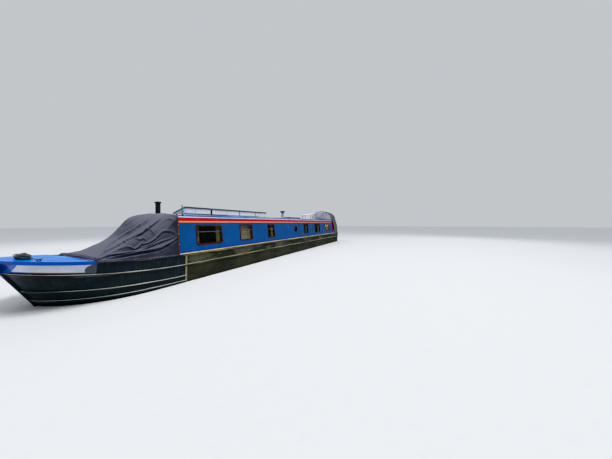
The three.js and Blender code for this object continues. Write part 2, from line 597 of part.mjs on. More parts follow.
const PLANK = { aft: -4420, fwd: -2640, thick: 32 };
const plankOutline = [[PLANK.aft, plankZ(PLANK.aft)], [PLANK.fwd, plankZ(PLANK.fwd)], [PLANK.fwd, plankZ(PLANK.fwd) + PLANK.thick], [PLANK.aft, plankZ(PLANK.aft) + PLANK.thick]];
add("gang_plank", "white_paint", alongY(plankOutline, [150, 450]));

/** The half beam of the deck edge at a station. */
function deckHalf(x) {
  const deck = LEVELS[LEVELS.length - 1];
  if (x > deck.stem - deck.entry) return deck.half * bowFullness((deck.stem - x) / deck.entry);
  if (x < ROUND_X) return deck.half * sternFullness((x - ROUND_X) / (deck.tail - ROUND_X));
  return deck.half;
}

/** A cloth cover over half sections, open below: each row is a station and its points from the middle outwards. */
function clothCover(rows, thick, openEnd) {
  const ring = ({ x, half }, inset, shift) => {
    const last = half.length - 1;
    const inner = half.map(([y, z], i) => [y ? y - inset : 0, i === last ? z - (inset ? 300 : 0) : z - inset]);
    const port = inner.map(([y, z]) => [x + shift, y, z]);
    return [...port, ...port.slice(1).reverse().map(([px, py, pz]) => [px, -py, pz])];
  };
  const outer = throughRings(rows.map((row) => ring(row, 0, 0)));
  const end = rows.length - 1;
  const shiftOf = (k) => (k === 0 ? (openEnd ? -60 : thick) : k === end ? -thick : 0);
  return outer.subtract(throughRings(rows.map((row, k) => ring(row, thick, shiftOf(k)))));
}

// Cratch cover: station, middle height, ridge, side. Its hem follows the deck edge.
const CLOTH = 10;
const CRATCH = [
  { x: 6070.4, mid: 2226, ridge: [540, 2206], side: [862, 2156] },
  { x: 6285, mid: 2216, ridge: [592, 2085], side: [866, 1900] },
  { x: 6585, mid: 2200, ridge: [679, 1915], side: [888, 1640] },
  { x: 6738, mid: 2119, ridge: [726, 1828], side: [906, 1555] },
  { x: 6885, mid: 1908, ridge: [770, 1750], side: [925, 1492] },
  { x: 7039, mid: 1704, ridge: [817, 1665], side: [945, 1435] },
  { x: 7205, mid: 1602, ridge: [868, 1577], side: [966, 1402] },
  { x: 7555, mid: 1460, ridge: [955, 1392], side: [990, 1338] },
  { x: 7760, mid: 1384, ridge: [930, 1352], side: [975, 1322] },
];
const cratchRows = CRATCH.map(({ x, mid, ridge, side }) => {
  const hem = [deckHalf(x) + 8, DECK_Z + 180 * rise(STEM_X - x) + GAP];
  return { x, half: [[0, mid], ridge, side, hem] };
});
add("cratch_cover", "dark_cloth", clothCover(cratchRows, CLOTH, true).subtract(join(foreHull, guards).translate([0, 0, GAP])));

// Cratch frame: a beam across the well, two legs, a head and the top plank back to the cabin.
const CRATCH_X = 6620;
const CRATCH_THICK = 35;
const beam = section([CRATCH_X - CRATCH_THICK, CRATCH_X], [WELL_Z + 380, WELL_Z + 460]);
const leg = alongX([[820, WELL_Z + 400], [760, WELL_Z + 400], [130, 2036], [130, 2090], [185, 2090]], [CRATCH_X - CRATCH_THICK, CRATCH_X]);
const head = box([CRATCH_X - CRATCH_THICK, CRATCH_X], [-180, 180], [2036, 2090]);
const topPlank = box([CABIN_FWD_X + GAP, CRATCH_X], [-75, 75], [2095, 2125]);
const prop = box([CRATCH_X - CRATCH_THICK, CRATCH_X], [-75, 75], [2080, 2125]);
add("cratch_frame", "varnished_wood", join(beam, leg, mirrored(leg), head, prop, topPlank));

// Pram hood over the aft deck: station, foot, waist, hip, shoulder, crown and middle of its section.
const HOOD = [
  { x: -6600, foot: [985, 1224], waist: [955, 1750], hip: [800, 2208], shoulder: [700, 2224], crown: [420, 2240], mid: 2250 },
  { x: -6690, foot: [985, 1224], waist: [955, 1750], hip: [800, 2210], shoulder: [700, 2420], crown: [440, 2520], mid: 2550 },
  { x: -6790, foot: [985, 1224], waist: [955, 1750], hip: [802, 2215], shoulder: [700, 2560], crown: [420, 2780], mid: 2840 },
  { x: -7400, foot: [985, 1224], waist: [955, 1750], hip: [806, 2215], shoulder: [700, 2560], crown: [420, 2795], mid: 2860 },
  { x: -7960, foot: [970, 1224], waist: [940, 1750], hip: [800, 2200], shoulder: [700, 2540], crown: [420, 2755], mid: 2812 },
  { x: -8080, foot: [940, 1224], waist: [915, 1720], hip: [790, 2150], shoulder: [690, 2470], crown: [420, 2660], mid: 2705 },
  { x: -8260, foot: [850, 1224], waist: [840, 1262], hip: [760, 1276], shoulder: [680, 1288], crown: [420, 1298], mid: 1304 },
];
const hoodHalf = ({ foot, waist, hip, shoulder, crown, mid }) => [[0, mid], crown, shoulder, hip, waist, foot];
const hoodRows = [...HOOD].reverse().map((row) => ({ x: row.x, half: hoodHalf(row) }));
const cabinClear = box([CABIN_TOE_X - 15, -6000], [-1200, 1200], [1000, RAIL.z1 + GAP]);
const hatchClear = box([-6860, -6000], [-385, 385], [1000, LID.top + 23]);
add("stern_hood", "pale_cloth", clothCover(hoodRows, CLOTH, false).subtract(cabinClear).subtract(hatchClear).subtract(join(aftHull, guards).translate([0, 0, GAP])));

// Hood frame: two hoops on the aft deck, joined by two bars.
const TUBE = 11;
const HOOPS = [
  { x: -7100, row: 3 },
  { x: -7940, row: 4 },
];
let hoodFrame = null;
for (const { x, row } of HOOPS) {
  const { foot, waist, hip, shoulder, crown, mid } = HOOD[row];
  const inset = CLOTH + TUBE + 39;
  const footY = foot[0] - inset;
  const port = [[footY, DECK_Z - 12], ...[waist, hip, shoulder, crown].map(([y, z]) => [y - inset, z - inset])];
  const path = [...port, [0, mid - inset], ...port.slice().reverse().map(([y, z]) => [-y, z])];
  const hoop = bent(path.map(([y, z]) => [x, y, z]), TUBE, 28);
  hoodFrame = hoodFrame ? join(hoodFrame, hoop) : hoop;
}
for (const side of [-1, 1]) hoodFrame = join(hoodFrame, bar([-7945, side * 360, 2695], [-7095, side * 360, 2735], TUBE, 8));
add("hood_frame", "steel_tube", hoodFrame.subtract(aftHull.translate([0, 0, GAP])));

// Engine, as one plain block over the counter plate.
add("engine", "engine_green", box([-6300, -5300], [-280, 280], [COUNTER_Z + PLATE + GAP, 900]));

// Propeller: shaft, hub and three pitched blades. Blade rows: radius, chord, thickness.
const BLADES = 3;
const PITCH = 290;
const BLADE_ROWS = [
  { radius: 30, chord: 70, thick: 16 },
  { radius: 80, chord: 118, thick: 13 },
  { radius: 125, chord: 146, thick: 11 },
  { radius: 165, chord: 136, thick: 8 },
  { radius: 199, chord: 62, thick: 5 },
];
const HUB = { x0: -7590, x1: -7470, radius: 45, mid: -7530 };
let propeller = join(
  bar([SHAFT.inner, 0, SHAFT.z], [HUB.x0, 0, SHAFT.z], SHAFT.radius, 20),
  bar([HUB.x1, 0, SHAFT.z], [HUB.x0, 0, SHAFT.z], HUB.radius, 20),
  bar([HUB.x0, 0, SHAFT.z], [HUB.x0 - 40, 0, SHAFT.z], 26, 16),
);
for (let blade = 0; blade < BLADES; blade++) {
  const angle = (2 * Math.PI * blade) / BLADES + Math.PI / 2;
  const radial = new THREE.Vector3(0, Math.cos(angle), Math.sin(angle));
  const tangent = new THREE.Vector3(0, -Math.sin(angle), Math.cos(angle));
  const axial = new THREE.Vector3(1, 0, 0);
  const rings = BLADE_ROWS.map(({ radius, chord, thick }) => {
    const pitch = Math.atan2(PITCH, 2 * Math.PI * radius);
    const along = tangent.clone().multiplyScalar(Math.cos(pitch)).addScaledVector(axial, Math.sin(pitch));
    const across = tangent.clone().multiplyScalar(-Math.sin(pitch)).addScaledVector(axial, Math.cos(pitch));
    const centre = new THREE.Vector3(HUB.mid, 0, SHAFT.z).addScaledVector(radial, radius);
    const corners = [[-chord / 2, 0], [-chord / 5, -thick / 2], [chord / 5, -thick / 2], [chord / 2, 0], [chord / 5, thick / 2], [-chord / 5, thick / 2]];
    return corners.map(([a, b]) => centre.clone().addScaledVector(along, a).addScaledVector(across, b).toArray());
  });
  propeller = join(propeller, throughRings(rings));
}
add("propeller", "bronze", propeller);

// Rudder and its swan-necked tiller.
const bladeOutline = [[-7730, 60], [-7730, 400], [-7770, 440], [-8400, 440], [-8430, 400], [-8430, 100], [-8400, 60]];
const stock = bar([STOCK.x, 0, SKEG.tall + BUSH], [STOCK.x, 0, 1262], STOCK.radius, 20);
add("rudder", "blacking", join(alongY(bladeOutline, [-12, 12]), stock));
const neck = [
  [STOCK.x, 0, 1262.4],
  [STOCK.x, 0, 1380],
  [STOCK.x - 26, 0, 1520],
  [STOCK.x - 10, 0, 1660],
  [STOCK.x + 90, 0, 1762],
  [STOCK.x + 330, 0, 1822],
  [-7145, 0, 1892],
];
add("tiller", "brass", join(bent(neck, 19, 26, 10), bar([STOCK.x, 0, 1262.4], [STOCK.x, 0, 1330], 30, 16)));

// Coil of rope on the foredeck, beside the stud. Camber is how far the deck falls there from its middle.
const COIL = { x: 8410, y: 260, camber: 4 };
const coilRing = [[34, -50], [88, -50], [98, 0], [97, 60], [84, 88], [48, 88], [34, 74], [34, -50]];
const coilFoot = deckAt(COIL.x) - COIL.camber;
add("rope_coil", "rope", turned(coilRing, 24, [COIL.x, COIL.y, coilFoot]).subtract(foreHull.translate([0, 0, GAP])));

// Fenders: a leaning rope fender on the stem, a round one on the tail.
const capsule = (radius, long) => {
  const points = [];
  for (let i = 0; i <= 5; i++) points.push([radius * Math.sin((i * Math.PI) / 10), -long / 2 - radius * 0.6 * Math.cos((i * Math.PI) / 10)]);
  for (let i = 5; i >= 0; i--) points.push([radius * Math.sin((i * Math.PI) / 10), long / 2 + radius * 0.6 * Math.cos((i * Math.PI) / 10)]);
  return points.map(([r, h]) => new THREE.Vector2(r, h));
};
const BOW_FENDER = { radius: 72, long: 250, lean: Math.atan2(8705 - 8530, 300) };
const bowFender = new THREE.LatheGeometry(capsule(BOW_FENDER.radius, BOW_FENDER.long), 20);
bowFender.rotateX(Math.PI / 2).rotateY(BOW_FENDER.lean);
const stemMid = [(8705 + 8530) / 2 + 35, 1250];
const offset = BOW_FENDER.radius + 0.6;
bowFender.translate(stemMid[0] + offset * Math.cos(BOW_FENDER.lean), 0, stemMid[1] - offset * Math.sin(BOW_FENDER.lean));
add("bow_fender", "rope", solid(bowFender).subtract(stemBar.translate([GAP, 0, 0])).subtract(guards.translate([GAP, 0, 0])));
const sternFender = [[0, 0], [90, 0], [128, 24], [136, 70], [122, 124], [78, 160], [0, 172.1]].map(([r, h]) => new THREE.Vector2(r, h));
const tailFender = new THREE.LatheGeometry(sternFender, 20).rotateZ(Math.PI / 2).translate(-8672, 0, 1120);
add("stern_fender", "rope", solid(tailFender).subtract(guards.translate([-GAP, 0, 0])).subtract(aftHull.translate([-GAP, 0, 0])));

// The finished part: one named mesh for each piece.
const boat = new THREE.Group();
boat.name = "narrowboat";
for (const { name, finish, body } of nodes) {
  const { numProp, numVert, vertProperties, triVerts } = body.getMesh();
  const positions = new Float32Array(numVert * 3);
  for (let i = 0; i < numVert; i++) positions.set(vertProperties.subarray(i * numProp, i * numProp + 3), i * 3);
  const geometry = new THREE.BufferGeometry();
  geometry.setAttribute("position", new THREE.BufferAttribute(positions, 3));
  geometry.setIndex(new THREE.BufferAttribute(new Uint32Array(triVerts), 1));
  const [color, roughness, metalness] = FINISHES[finish];
  const mesh = new THREE.Mesh(geometry, new THREE.MeshStandardMaterial({ color, roughness, metalness }));
  mesh.name = name;
  boat.add(mesh);
}
export default boat;
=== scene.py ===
"""Looks of the narrowboat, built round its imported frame. Metres, +X to the bow, +Y to port, +Z up."""

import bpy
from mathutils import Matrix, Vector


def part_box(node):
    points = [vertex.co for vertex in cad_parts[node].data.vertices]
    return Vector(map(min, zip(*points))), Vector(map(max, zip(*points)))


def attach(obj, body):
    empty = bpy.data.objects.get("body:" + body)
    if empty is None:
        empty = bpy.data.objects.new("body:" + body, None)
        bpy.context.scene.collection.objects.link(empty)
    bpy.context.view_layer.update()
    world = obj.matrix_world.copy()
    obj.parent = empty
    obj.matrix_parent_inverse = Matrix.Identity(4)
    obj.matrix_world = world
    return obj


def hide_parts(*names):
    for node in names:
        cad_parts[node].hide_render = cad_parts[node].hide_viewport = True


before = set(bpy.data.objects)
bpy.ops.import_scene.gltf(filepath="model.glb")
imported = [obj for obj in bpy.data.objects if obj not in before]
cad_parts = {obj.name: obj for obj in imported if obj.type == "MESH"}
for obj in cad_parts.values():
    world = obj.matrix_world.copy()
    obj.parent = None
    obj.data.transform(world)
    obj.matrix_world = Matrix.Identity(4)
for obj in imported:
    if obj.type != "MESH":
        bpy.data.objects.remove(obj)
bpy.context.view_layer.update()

import logging
import math
import random
from dataclasses import dataclass
from enum import Enum
from typing import Callable, Sequence

import bmesh
import bpy
import numpy as np
from mathutils import Matrix, Vector, noise

log = logging.getLogger("narrowboat")
NODES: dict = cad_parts
Pair = tuple[float, float]
Point = tuple[float, float, float]
Line = Sequence[Sequence[float]]
Inputs = dict[str, object]
Tree = bpy.types.NodeTree
Socket = bpy.types.NodeSocket
Piece = bpy.types.Object

# The hull's driving sizes, as the frame has them. FLOAT_Z is the height of the line that it floats at.
STEM_X = 8.705
WELL_X = 7.740
WEATHER_X = 5.985
CABIN_FWD_X = 6.070
CABIN_AFT_X = -6.785
CABIN_TOE_X = -7.045
DECK_Z = 1.220
FLOAT_Z = 0.500
SIDE_TOP_Z = 2.120
SIDE_FOOT_Y = 0.930
SIDE_HEAD_Y = 0.8468
WALL = 0.045
LEAN = math.atan2(SIDE_FOOT_Y - SIDE_HEAD_Y, SIDE_TOP_Z - DECK_Z)
# How far the raked after end of the cabin's side runs forward over each metre of height.
SIDE_RAKE = 0.2889
SHEER_RUN = STEM_X - CABIN_FWD_X
SHEER_LIFT = 0.180
SHEER_POWER = 1.8
FORE_CAMBER = 0.025
HALF_BEAM = 1.018
BOW_RUN = 1.25
SIDES = (("port", 1.0), ("starboard", -1.0))
# Each strake: its top aft, its height, its rise at the stem, where it meets the stem, its curve's power.
STRAKES = (
    (DECK_Z, 0.055, SHEER_LIFT, STEM_X, SHEER_POWER),
    (0.952, 0.045, 0.215, 8.570, 1.7),
    (0.682, 0.040, 0.140, 8.360, 1.4),
    (0.560, 0.040, 0.070, 8.240, 1.22),
)


def rise(x: float) -> float:
    """The share of the sheer's lift at a station."""
    return max(0.0, (x - CABIN_FWD_X) / SHEER_RUN) ** SHEER_POWER


def strake_top(strake: tuple[float, ...], x: float) -> float:
    """The height of a strake's upper edge at a station."""
    top, _, lift, end, power = strake
    return top + lift * max(0.0, (x - CABIN_FWD_X) / (end - CABIN_FWD_X)) ** power


def side_y(z: float) -> float:
    """How far out the cabin's side stands at a height."""
    return SIDE_FOOT_Y - (z - DECK_Z) * math.tan(LEAN)


def deck_half(x: float) -> float:
    """The half beam of the deck edge at a station."""
    into_bow = min(1.0, max(0.0, 1 - (STEM_X - x) / BOW_RUN))
    return HALF_BEAM * (1 - into_bow**2.2) ** 0.625


def fore_deck_z(x: float, y: float) -> float:
    """The height of the foredeck, with its camber, at a place."""
    return DECK_Z + SHEER_LIFT * rise(x) + FORE_CAMBER * (1 - min(1.0, (y / deck_half(x)) ** 2))


def linear(code: str, alpha: float = 1.0) -> tuple[float, float, float, float]:
    """Turns an sRGB hex code such as "#1A4FB0" to linear values.

    Args:
        code: the colour, with its hash mark.
        alpha: how solid the colour is.

    Returns:
        Red, green, blue and alpha.
    """
    parts = [int(code[i : i + 2], 16) / 255 for i in (1, 3, 5)]
    red, green, blue = [p / 12.92 if p <= 0.04045 else ((p + 0.055) / 1.055) ** 2.4 for p in parts]
    return red, green, blue, alpha


def feed(tree: Tree, socket: Socket, value: object) -> None:
    """Links an output to a socket, or sets the socket's own value.

    Args:
        tree: the tree that both are in.
        socket: the input.
        value: an output socket or a plain value.
    """
    if isinstance(value, Socket):
        tree.links.new(value, socket)
    else:
        socket.default_value = value


def add_node(tree: Tree, kind: str, inputs: dict | None = None, **settings: object) -> bpy.types.Node:
    """Adds one node with its settings and links.

    Args:
        tree: the tree that it goes into.
        kind: the node's type.
        inputs: a value or an output socket for each input, by name or number.
        settings: the node's own attributes.

    Returns:
        The node.
    """
    node = tree.nodes.new(kind)
    for name, value in settings.items():
        setattr(node, name, value)
    for key, value in (inputs or {}).items():
        feed(tree, node.inputs[key], value)
    return node


class Palette:
    """Patterns and masks for one material, worked out from the object's own coordinates."""

    def __init__(self, tree: Tree) -> None:
        """Starts from the places of the surface."""
        self.tree = tree
        self.place = add_node(tree, "ShaderNodeTexCoord").outputs["Object"]
        split = add_node(tree, "ShaderNodeSeparateXYZ", {0: self.place})
        self.x, self.y, self.z = split.outputs

    def math(self, operation: str, a: object, b: object = 0.0, clamp: bool = False) -> Socket:
        """One sum of two values."""
        inputs = {0: a, 1: b}
        return add_node(self.tree, "ShaderNodeMath", inputs, operation=operation, use_clamp=clamp).outputs[0]

    def step(self, value: object, start: float, end: float) -> Socket:
        """Goes from 0 at start to 1 at end, smoothly."""
        inputs = {0: value, 1: start, 2: end}
        return add_node(self.tree, "ShaderNodeMapRange", inputs, interpolation_type="SMOOTHSTEP").outputs[0]

    def band(self, value: object, low: float, high: float, soft: float = 0.002) -> Socket:
        """1 between two values, 0 outside them."""
        rising = self.step(value, low - soft, low + soft)
        return self.math("MULTIPLY", rising, self.step(value, high + soft, high - soft))

    def noise(
        self, size_mm: float, detail: float = 3.0, stretch: Point = (1, 1, 1), rough: float = 0.55
    ) -> Socket:
        """Mottling with features of a real size.

        Args:
            size_mm: the size of the largest features.
            detail: how many finer layers lie in it.
            stretch: how many times longer the features are along each axis.
            rough: how strong the finer layers are.

        Returns:
            A value from 0 to 1.
        """
        scale = [1000 / (size_mm * s) for s in stretch]
        shifted = add_node(self.tree, "ShaderNodeMapping", {"Vector": self.place, "Scale": scale}).outputs[0]
        inputs = {"Vector": shifted, "Scale": 1.0, "Detail": detail, "Roughness": rough}
        return add_node(self.tree, "ShaderNodeTexNoise", inputs).outputs[0]

    def patches(
        self, size_mm: float, detail: float, start: float, end: float, stretch: Point = (1, 1, 1)
    ) -> Socket:
        """Mottling with its edges drawn in: 0 where it is under start, 1 where it is over end."""
        return self.step(self.noise(size_mm, detail, stretch), start, end)

    def mix(self, share: object, a: object, b: object) -> Socket:
        """Mixes two colours, given as hex codes or sockets.

        Args:
            share: how much of the second colour there is.
            a: the first colour.
            b: the second colour.

        Returns:
            The mixed colour.
        """
        node = add_node(self.tree, "ShaderNodeMix", data_type="RGBA")
        sockets = [s for s in node.inputs if s.enabled and s.type in ("RGBA", "VALUE")]
        for socket, value in zip(sockets, (share, a, b)):
            feed(self.tree, socket, linear(value) if isinstance(value, str) else value)
        return next(s for s in node.outputs if s.enabled)

    def laid(self, colour: object, mask: object, strength: float, over: object) -> Socket:
        """Lays another colour over one, where a mask says and as strongly as given."""
        return self.mix(self.math("MULTIPLY", mask, strength), colour, over)

    def upward(self) -> Socket:
        """How far the surface faces up, from its normal: 1 on a level top, 0 on a wall."""
        normal = add_node(self.tree, "ShaderNodeNewGeometry").outputs["Normal"]
        return add_node(self.tree, "ShaderNodeSeparateXYZ", {0: normal}).outputs[2]

    def blend(self, share: object, low: float, high: float) -> Socket:
        """Goes from one value to another with a share."""
        return add_node(self.tree, "ShaderNodeMapRange", {0: share, 3: low, 4: high}).outputs[0]

    def over_strake(self, strake: tuple[float, ...]) -> Socket:
        """How far a place lies over a strake's upper edge.

        Args:
            strake: the strake's sizes.

        Returns:
            The height over it, in metres.
        """
        top, _, lift, end, power = strake
        run = self.math("SUBTRACT", self.x, CABIN_FWD_X)
        share = self.math("DIVIDE", run, end - CABIN_FWD_X, clamp=True)
        edge = self.math("ADD", self.math("MULTIPLY", self.math("POWER", share, power), lift), top)
        return self.math("SUBTRACT", self.z, edge)

    def bump(
        self, height: object, depth_mm: float, strength: float = 1.0, under: Socket | None = None
    ) -> Socket:
        """A bump of a real depth, over another one if it is given.

        Args:
            height: the pattern that it follows.
            depth_mm: its depth.
            strength: how much of it shows.
            under: the relief that it lies on.

        Returns:
            The new normal.
        """
        inputs = {"Height": height, "Distance": depth_mm / 1000, "Strength": strength}
        if under is not None:
            inputs["Normal"] = under
        return add_node(self.tree, "ShaderNodeBump", inputs).outputs[0]


@dataclass(frozen=True)
class Finish:
    """A surface finish, made once as a material and shared by the pieces that have it."""

    name: str

    def material(self) -> bpy.types.Material:
        """Makes the material, or finds it again.

        Returns:
            The Blender material.
        """
        known = bpy.data.materials.get(self.name)
        if known:
            return known
        made = bpy.data.materials.new(self.name)
        made.use_nodes = True
        tree = made.node_tree
        tree.nodes.clear()
        shader = add_node(tree, "ShaderNodeBsdfPrincipled")
        add_node(tree, "ShaderNodeOutputMaterial", {"Surface": shader.outputs[0]})
        for key, value in self.dress(Palette(tree)).items():
            feed(tree, shader.inputs[key], value)
        return made

    def dress(self, p: Palette) -> Inputs:
        """The shader's inputs, each a plain value or a pattern.

        Args:
            p: the patterns to build them from.

        Returns:
            A value or a socket for each input's name.
        """
        raise NotImplementedError


@dataclass(frozen=True)
class Enamel(Finish):
    """Brushed coach enamel on steel: deep colour, a clear wet gloss and a faint orange peel."""

    colour: str
    shade: str
    roughness: float = 0.16
    peel_mm: float = 14.0
    dust: float = 0.25
    dust_colour: str = "#8B8A7C"
    coat: float = 0.35
    shine: float = 0.5

    def base(self, p: Palette) -> Socket:
        """The paint's colour before dust."""
        return p.mix(p.patches(900, 3, 0.35, 0.7), self.colour, self.shade)

    def dress(self, p: Palette) -> Inputs:
        """Colour with dust in patches, orange peel and long dents between the frames."""
        dusty = p.math("MULTIPLY", p.patches(160, 5, 0.5, 0.85, (1, 1, 2.5)), self.dust)
        colour = p.mix(dusty, self.base(p), self.dust_colour)
        dents = p.bump(p.noise(620, 1), 2.2)
        peel = p.bump(p.noise(self.peel_mm, 2), 0.12, under=dents)
        rough = p.blend(
            p.math("MAXIMUM", dusty, p.math("MULTIPLY", p.noise(45, 4), 0.35)), self.roughness, 0.5
        )
        return {
            "Base Color": colour,
            "Roughness": rough,
            "Normal": peel,
            "Coat Weight": self.coat,
            "Coat Roughness": 0.08,
            "Specular IOR Level": self.shine,
        }


@dataclass(frozen=True)
class CabinEnamel(Enamel):
    """The cabin side's blue enamel with its red and orange bands and the red edge at its raked end."""

    red: str = "#9C0A0C"
    orange: str = "#E8820C"
    low_blue: str = "#043C8C"
    red_z: Pair = (2.028, 2.112)
    orange_z: Pair = (1.992, 2.028)

    def base(self, p: Palette) -> Socket:
        """Blue, a little brighter low down, with the bands over it."""
        body = p.mix(p.patches(1400, 3, 0.3, 0.75, (1, 1, 0.6)), self.colour, self.shade)
        body = p.mix(p.math("MULTIPLY", p.step(p.z, 1.42, 1.24), 0.65), body, self.low_blue)
        body = p.mix(p.band(p.z, *self.orange_z), body, self.orange)
        body = p.mix(p.band(p.z, *self.red_z), body, self.red)
        rake = p.math("ADD", p.x, p.math("MULTIPLY", p.math("SUBTRACT", SIDE_TOP_Z, p.z), SIDE_RAKE))
        edge = p.band(rake, CABIN_AFT_X - 0.1, CABIN_AFT_X + 0.150)
        return p.mix(edge, body, self.red)


@dataclass(frozen=True)
class Blacking(Finish):
    """Bitumen paint on plate: near black and half gloss when fresh, dull and olive when weathered."""

    fresh: str = "#1E2427"
    fresh_green: str = "#2A302F"
    worn: str = "#2D2F28"
    worn_light: str = "#504F44"
    rust: str = "#4A2814"
    slime: str = "#1E1C12"
    splash: str = "#2D2E26"
    weather: bool = True
    streaks: float = 1.0

    def dress(self, p: Palette) -> Inputs:
        """Patches, vertical streaks, rust spots and a band of silt where it floats."""
        fresh = p.mix(p.patches(350, 5, 0.45, 0.75), self.fresh, self.fresh_green)
        patches = p.patches(420, 6, 0.44, 0.6, (1.6, 1, 0.6))
        worn = p.mix(patches, self.worn, self.worn_light)
        streak = p.math("MULTIPLY", p.patches(70, 4, 0.52, 0.78, (0.5, 0.5, 9)), self.streaks)
        worn = p.laid(worn, streak, 0.85, self.fresh)
        fresh = p.laid(fresh, streak, 0.5, "#454B48")
        scuffs = p.patches(34, 6, 0.62, 0.74, (7, 7, 0.7))
        worn = p.laid(worn, scuffs, 0.35, "#6A6B58")
        rusty = p.patches(120, 6, 0.64, 0.74, (1, 1, 2.2))
        worn = p.laid(worn, rusty, 0.6, self.rust)
        old = p.step(p.x, WEATHER_X + 0.01, WEATHER_X - 0.01) if self.weather else 0.0
        splashed = p.step(
            p.math("ADD", p.z, p.math("MULTIPLY", p.noise(210, 5, (2, 2, 1)), 0.10)), 0.965, 0.925
        )
        worn = p.laid(worn, splashed, 0.72, self.splash)
        colour = p.mix(old, fresh, worn)
        low = p.step(
            p.math("ADD", p.z, p.math("MULTIPLY", p.noise(90, 4), 0.06)), FLOAT_Z + 0.12, FLOAT_Z + 0.02
        )
        colour = p.laid(colour, low, 0.8, self.slime)
        skin = p.bump(p.noise(26, 5), 0.5)
        pits = p.bump(p.math("MAXIMUM", rusty, scuffs), 0.7, under=skin)
        rough = p.blend(p.math("MAXIMUM", old, p.math("MULTIPLY", p.noise(60, 4), 0.4)), 0.3, 0.72)
        return {"Base Color": colour, "Roughness": rough, "Normal": pits, "Specular IOR Level": 0.22}


@dataclass(frozen=True)
class GuardSteel(Finish):
    """A rubbing strake under blacking: its ledge is pale, partly scraped metal and partly painted highlight,
    with rust beside the scrapes.
    """

    paint: str
    bare: str
    rust: str = "#5E3418"
    wear: Pair = (0.42, 0.68)
    ledge_highlight_and_wear: float = 0.75

    def dress(self, p: Palette) -> Inputs:
        """A pale line along each top edge and on upward faces, partly painted highlight and partly scraped
        metal, long scrapes, rust round them and small knocks.
        """
        scraped = p.step(p.noise(60, 6, (14, 14, 0.5)), *self.wear)
        # The pale line along the strakes' top edges and on upward faces is a painted highlight, broken in
        # patches and mixed with scraped metal.
        line: object = 0.0
        for strake in STRAKES:
            line = p.math("MAXIMUM", line, p.band(p.over_strake(strake), -0.010, 0.012, 0.003))
        line = p.math("MAXIMUM", line, p.step(p.upward(), 0.35, 0.6))
        broken = p.blend(p.patches(130, 5, 0.34, 0.5, (6, 6, 1)), 0.35, 1.0)
        pale = p.math("MULTIPLY", p.math("MULTIPLY", line, broken), self.ledge_highlight_and_wear)
        colour = p.mix(p.math("MULTIPLY", scraped, 0.35), self.paint, self.bare)
        colour = p.mix(pale, colour, self.bare)
        rusty = p.patches(140, 6, 0.6, 0.72, (3, 3, 1))
        colour = p.laid(colour, rusty, 0.6, self.rust)
        knocks = p.bump(p.noise(22, 5, (4, 4, 1)), 1.0)
        rough = p.blend(p.math("MAXIMUM", rusty, pale), 0.4, 0.75)
        return {"Base Color": colour, "Roughness": rough, "Normal": knocks, "Specular IOR Level": 0.35}


@dataclass(frozen=True)
class BowPaint(Finish):
    """The bow's enamel scheme: a nose darkened from the border's blue as painted shade, a mid blue border
    round a pale panel, and a dark half disc.
    """

    nose_painted_shade: str = "#00286A"
    border: str = "#1052B2"
    panel: str = "#A9B4C4"
    panel_light: str = "#C6CEDA"
    fine_line: str = "#C9CF9A"
    red_line: str = "#4A1418"
    disc: str = "#3C4046"
    border_x: float = 8.578
    panel_x: float = 8.535
    lower_gap: float = 0.040
    disc_x: float = WELL_X + 0.006
    disc_size: Pair = (0.140, 0.104)

    def dress(self, p: Palette) -> Inputs:
        """Masks from the height over the second strake and the station along the bow."""
        over = p.over_strake(STRAKES[1])
        depth = p.math("MULTIPLY", p.over_strake(STRAKES[0]), -1.0)
        slant = p.math("ADD", p.x, p.math("MULTIPLY", depth, -0.12))
        tint = p.patches(500, 3, 0.3, 0.7)
        colour = p.mix(tint, self.panel, self.panel_light)
        line = p.band(over, self.lower_gap, self.lower_gap + 0.007, 0.001)
        colour = p.mix(line, colour, self.fine_line)
        colour = p.mix(p.step(over, self.lower_gap, self.lower_gap - 0.002), colour, self.border)
        colour = p.mix(p.step(over, 0.024, 0.022), colour, self.red_line)
        colour = p.mix(p.step(depth, 0.066, 0.064), colour, self.border)
        colour = p.mix(p.step(slant, self.panel_x - 0.03, self.panel_x - 0.027), colour, self.border)
        # The nose is the border's blue, made darker as painted shade where the bow turns towards the stem.
        colour = p.mix(p.step(slant, self.border_x - 0.03, self.border_x - 0.027), colour, self.nose_painted_shade)
        across = p.math("DIVIDE", p.math("SUBTRACT", p.x, self.disc_x), self.disc_size[0])
        middle = p.math("SUBTRACT", p.math("SUBTRACT", depth, 0.055), self.disc_size[1])
        down = p.math("DIVIDE", middle, self.disc_size[1])
        far = p.math("ADD", p.math("MULTIPLY", across, across), p.math("MULTIPLY", down, down))
        colour = p.mix(p.step(far, 1.015, 0.985), colour, self.disc)
        dusty = p.math("MULTIPLY", p.patches(120, 5, 0.55, 0.85, (1, 1, 2)), 0.2)
        colour = p.mix(dusty, colour, "#8B8A7C")
        peel = p.bump(p.noise(16, 2), 0.12, under=p.bump(p.noise(420, 1), 1.5))
        rough = p.blend(p.math("MULTIPLY", p.noise(50, 4), 0.6), 0.14, 0.42)
        return {
            "Base Color": colour, "Roughness": rough, "Normal": peel, "Coat Weight": 0.3,
            "Coat Roughness": 0.1,
        }


@dataclass(frozen=True)
class DeckPaint(Finish):
    """Deck enamel with fine sand cast into it: it breaks up the gloss and keeps dirt in its grain."""

    colour: str
    worn: str
    grit_mm: float = 5.0
    grit_depth_mm: float = 0.4
    gloss: float = 0.3

    def dress(self, p: Palette) -> Inputs:
        """Sand grain, trodden patches and dirt."""
        trodden = p.patches(380, 5, 0.45, 0.75)
        colour = p.mix(trodden, self.colour, self.worn)
        dirt = p.math("MULTIPLY", p.patches(60, 6, 0.55, 0.8), 0.35)
        colour = p.mix(dirt, colour, "#5E5D50")
        grain = p.bump(p.noise(self.grit_mm, 2), self.grit_depth_mm)
        rough = p.blend(p.math("MAXIMUM", trodden, dirt), self.gloss, 0.65)
        return {"Base Color": colour, "Roughness": rough, "Normal": grain, "Coat Weight": 0.1}


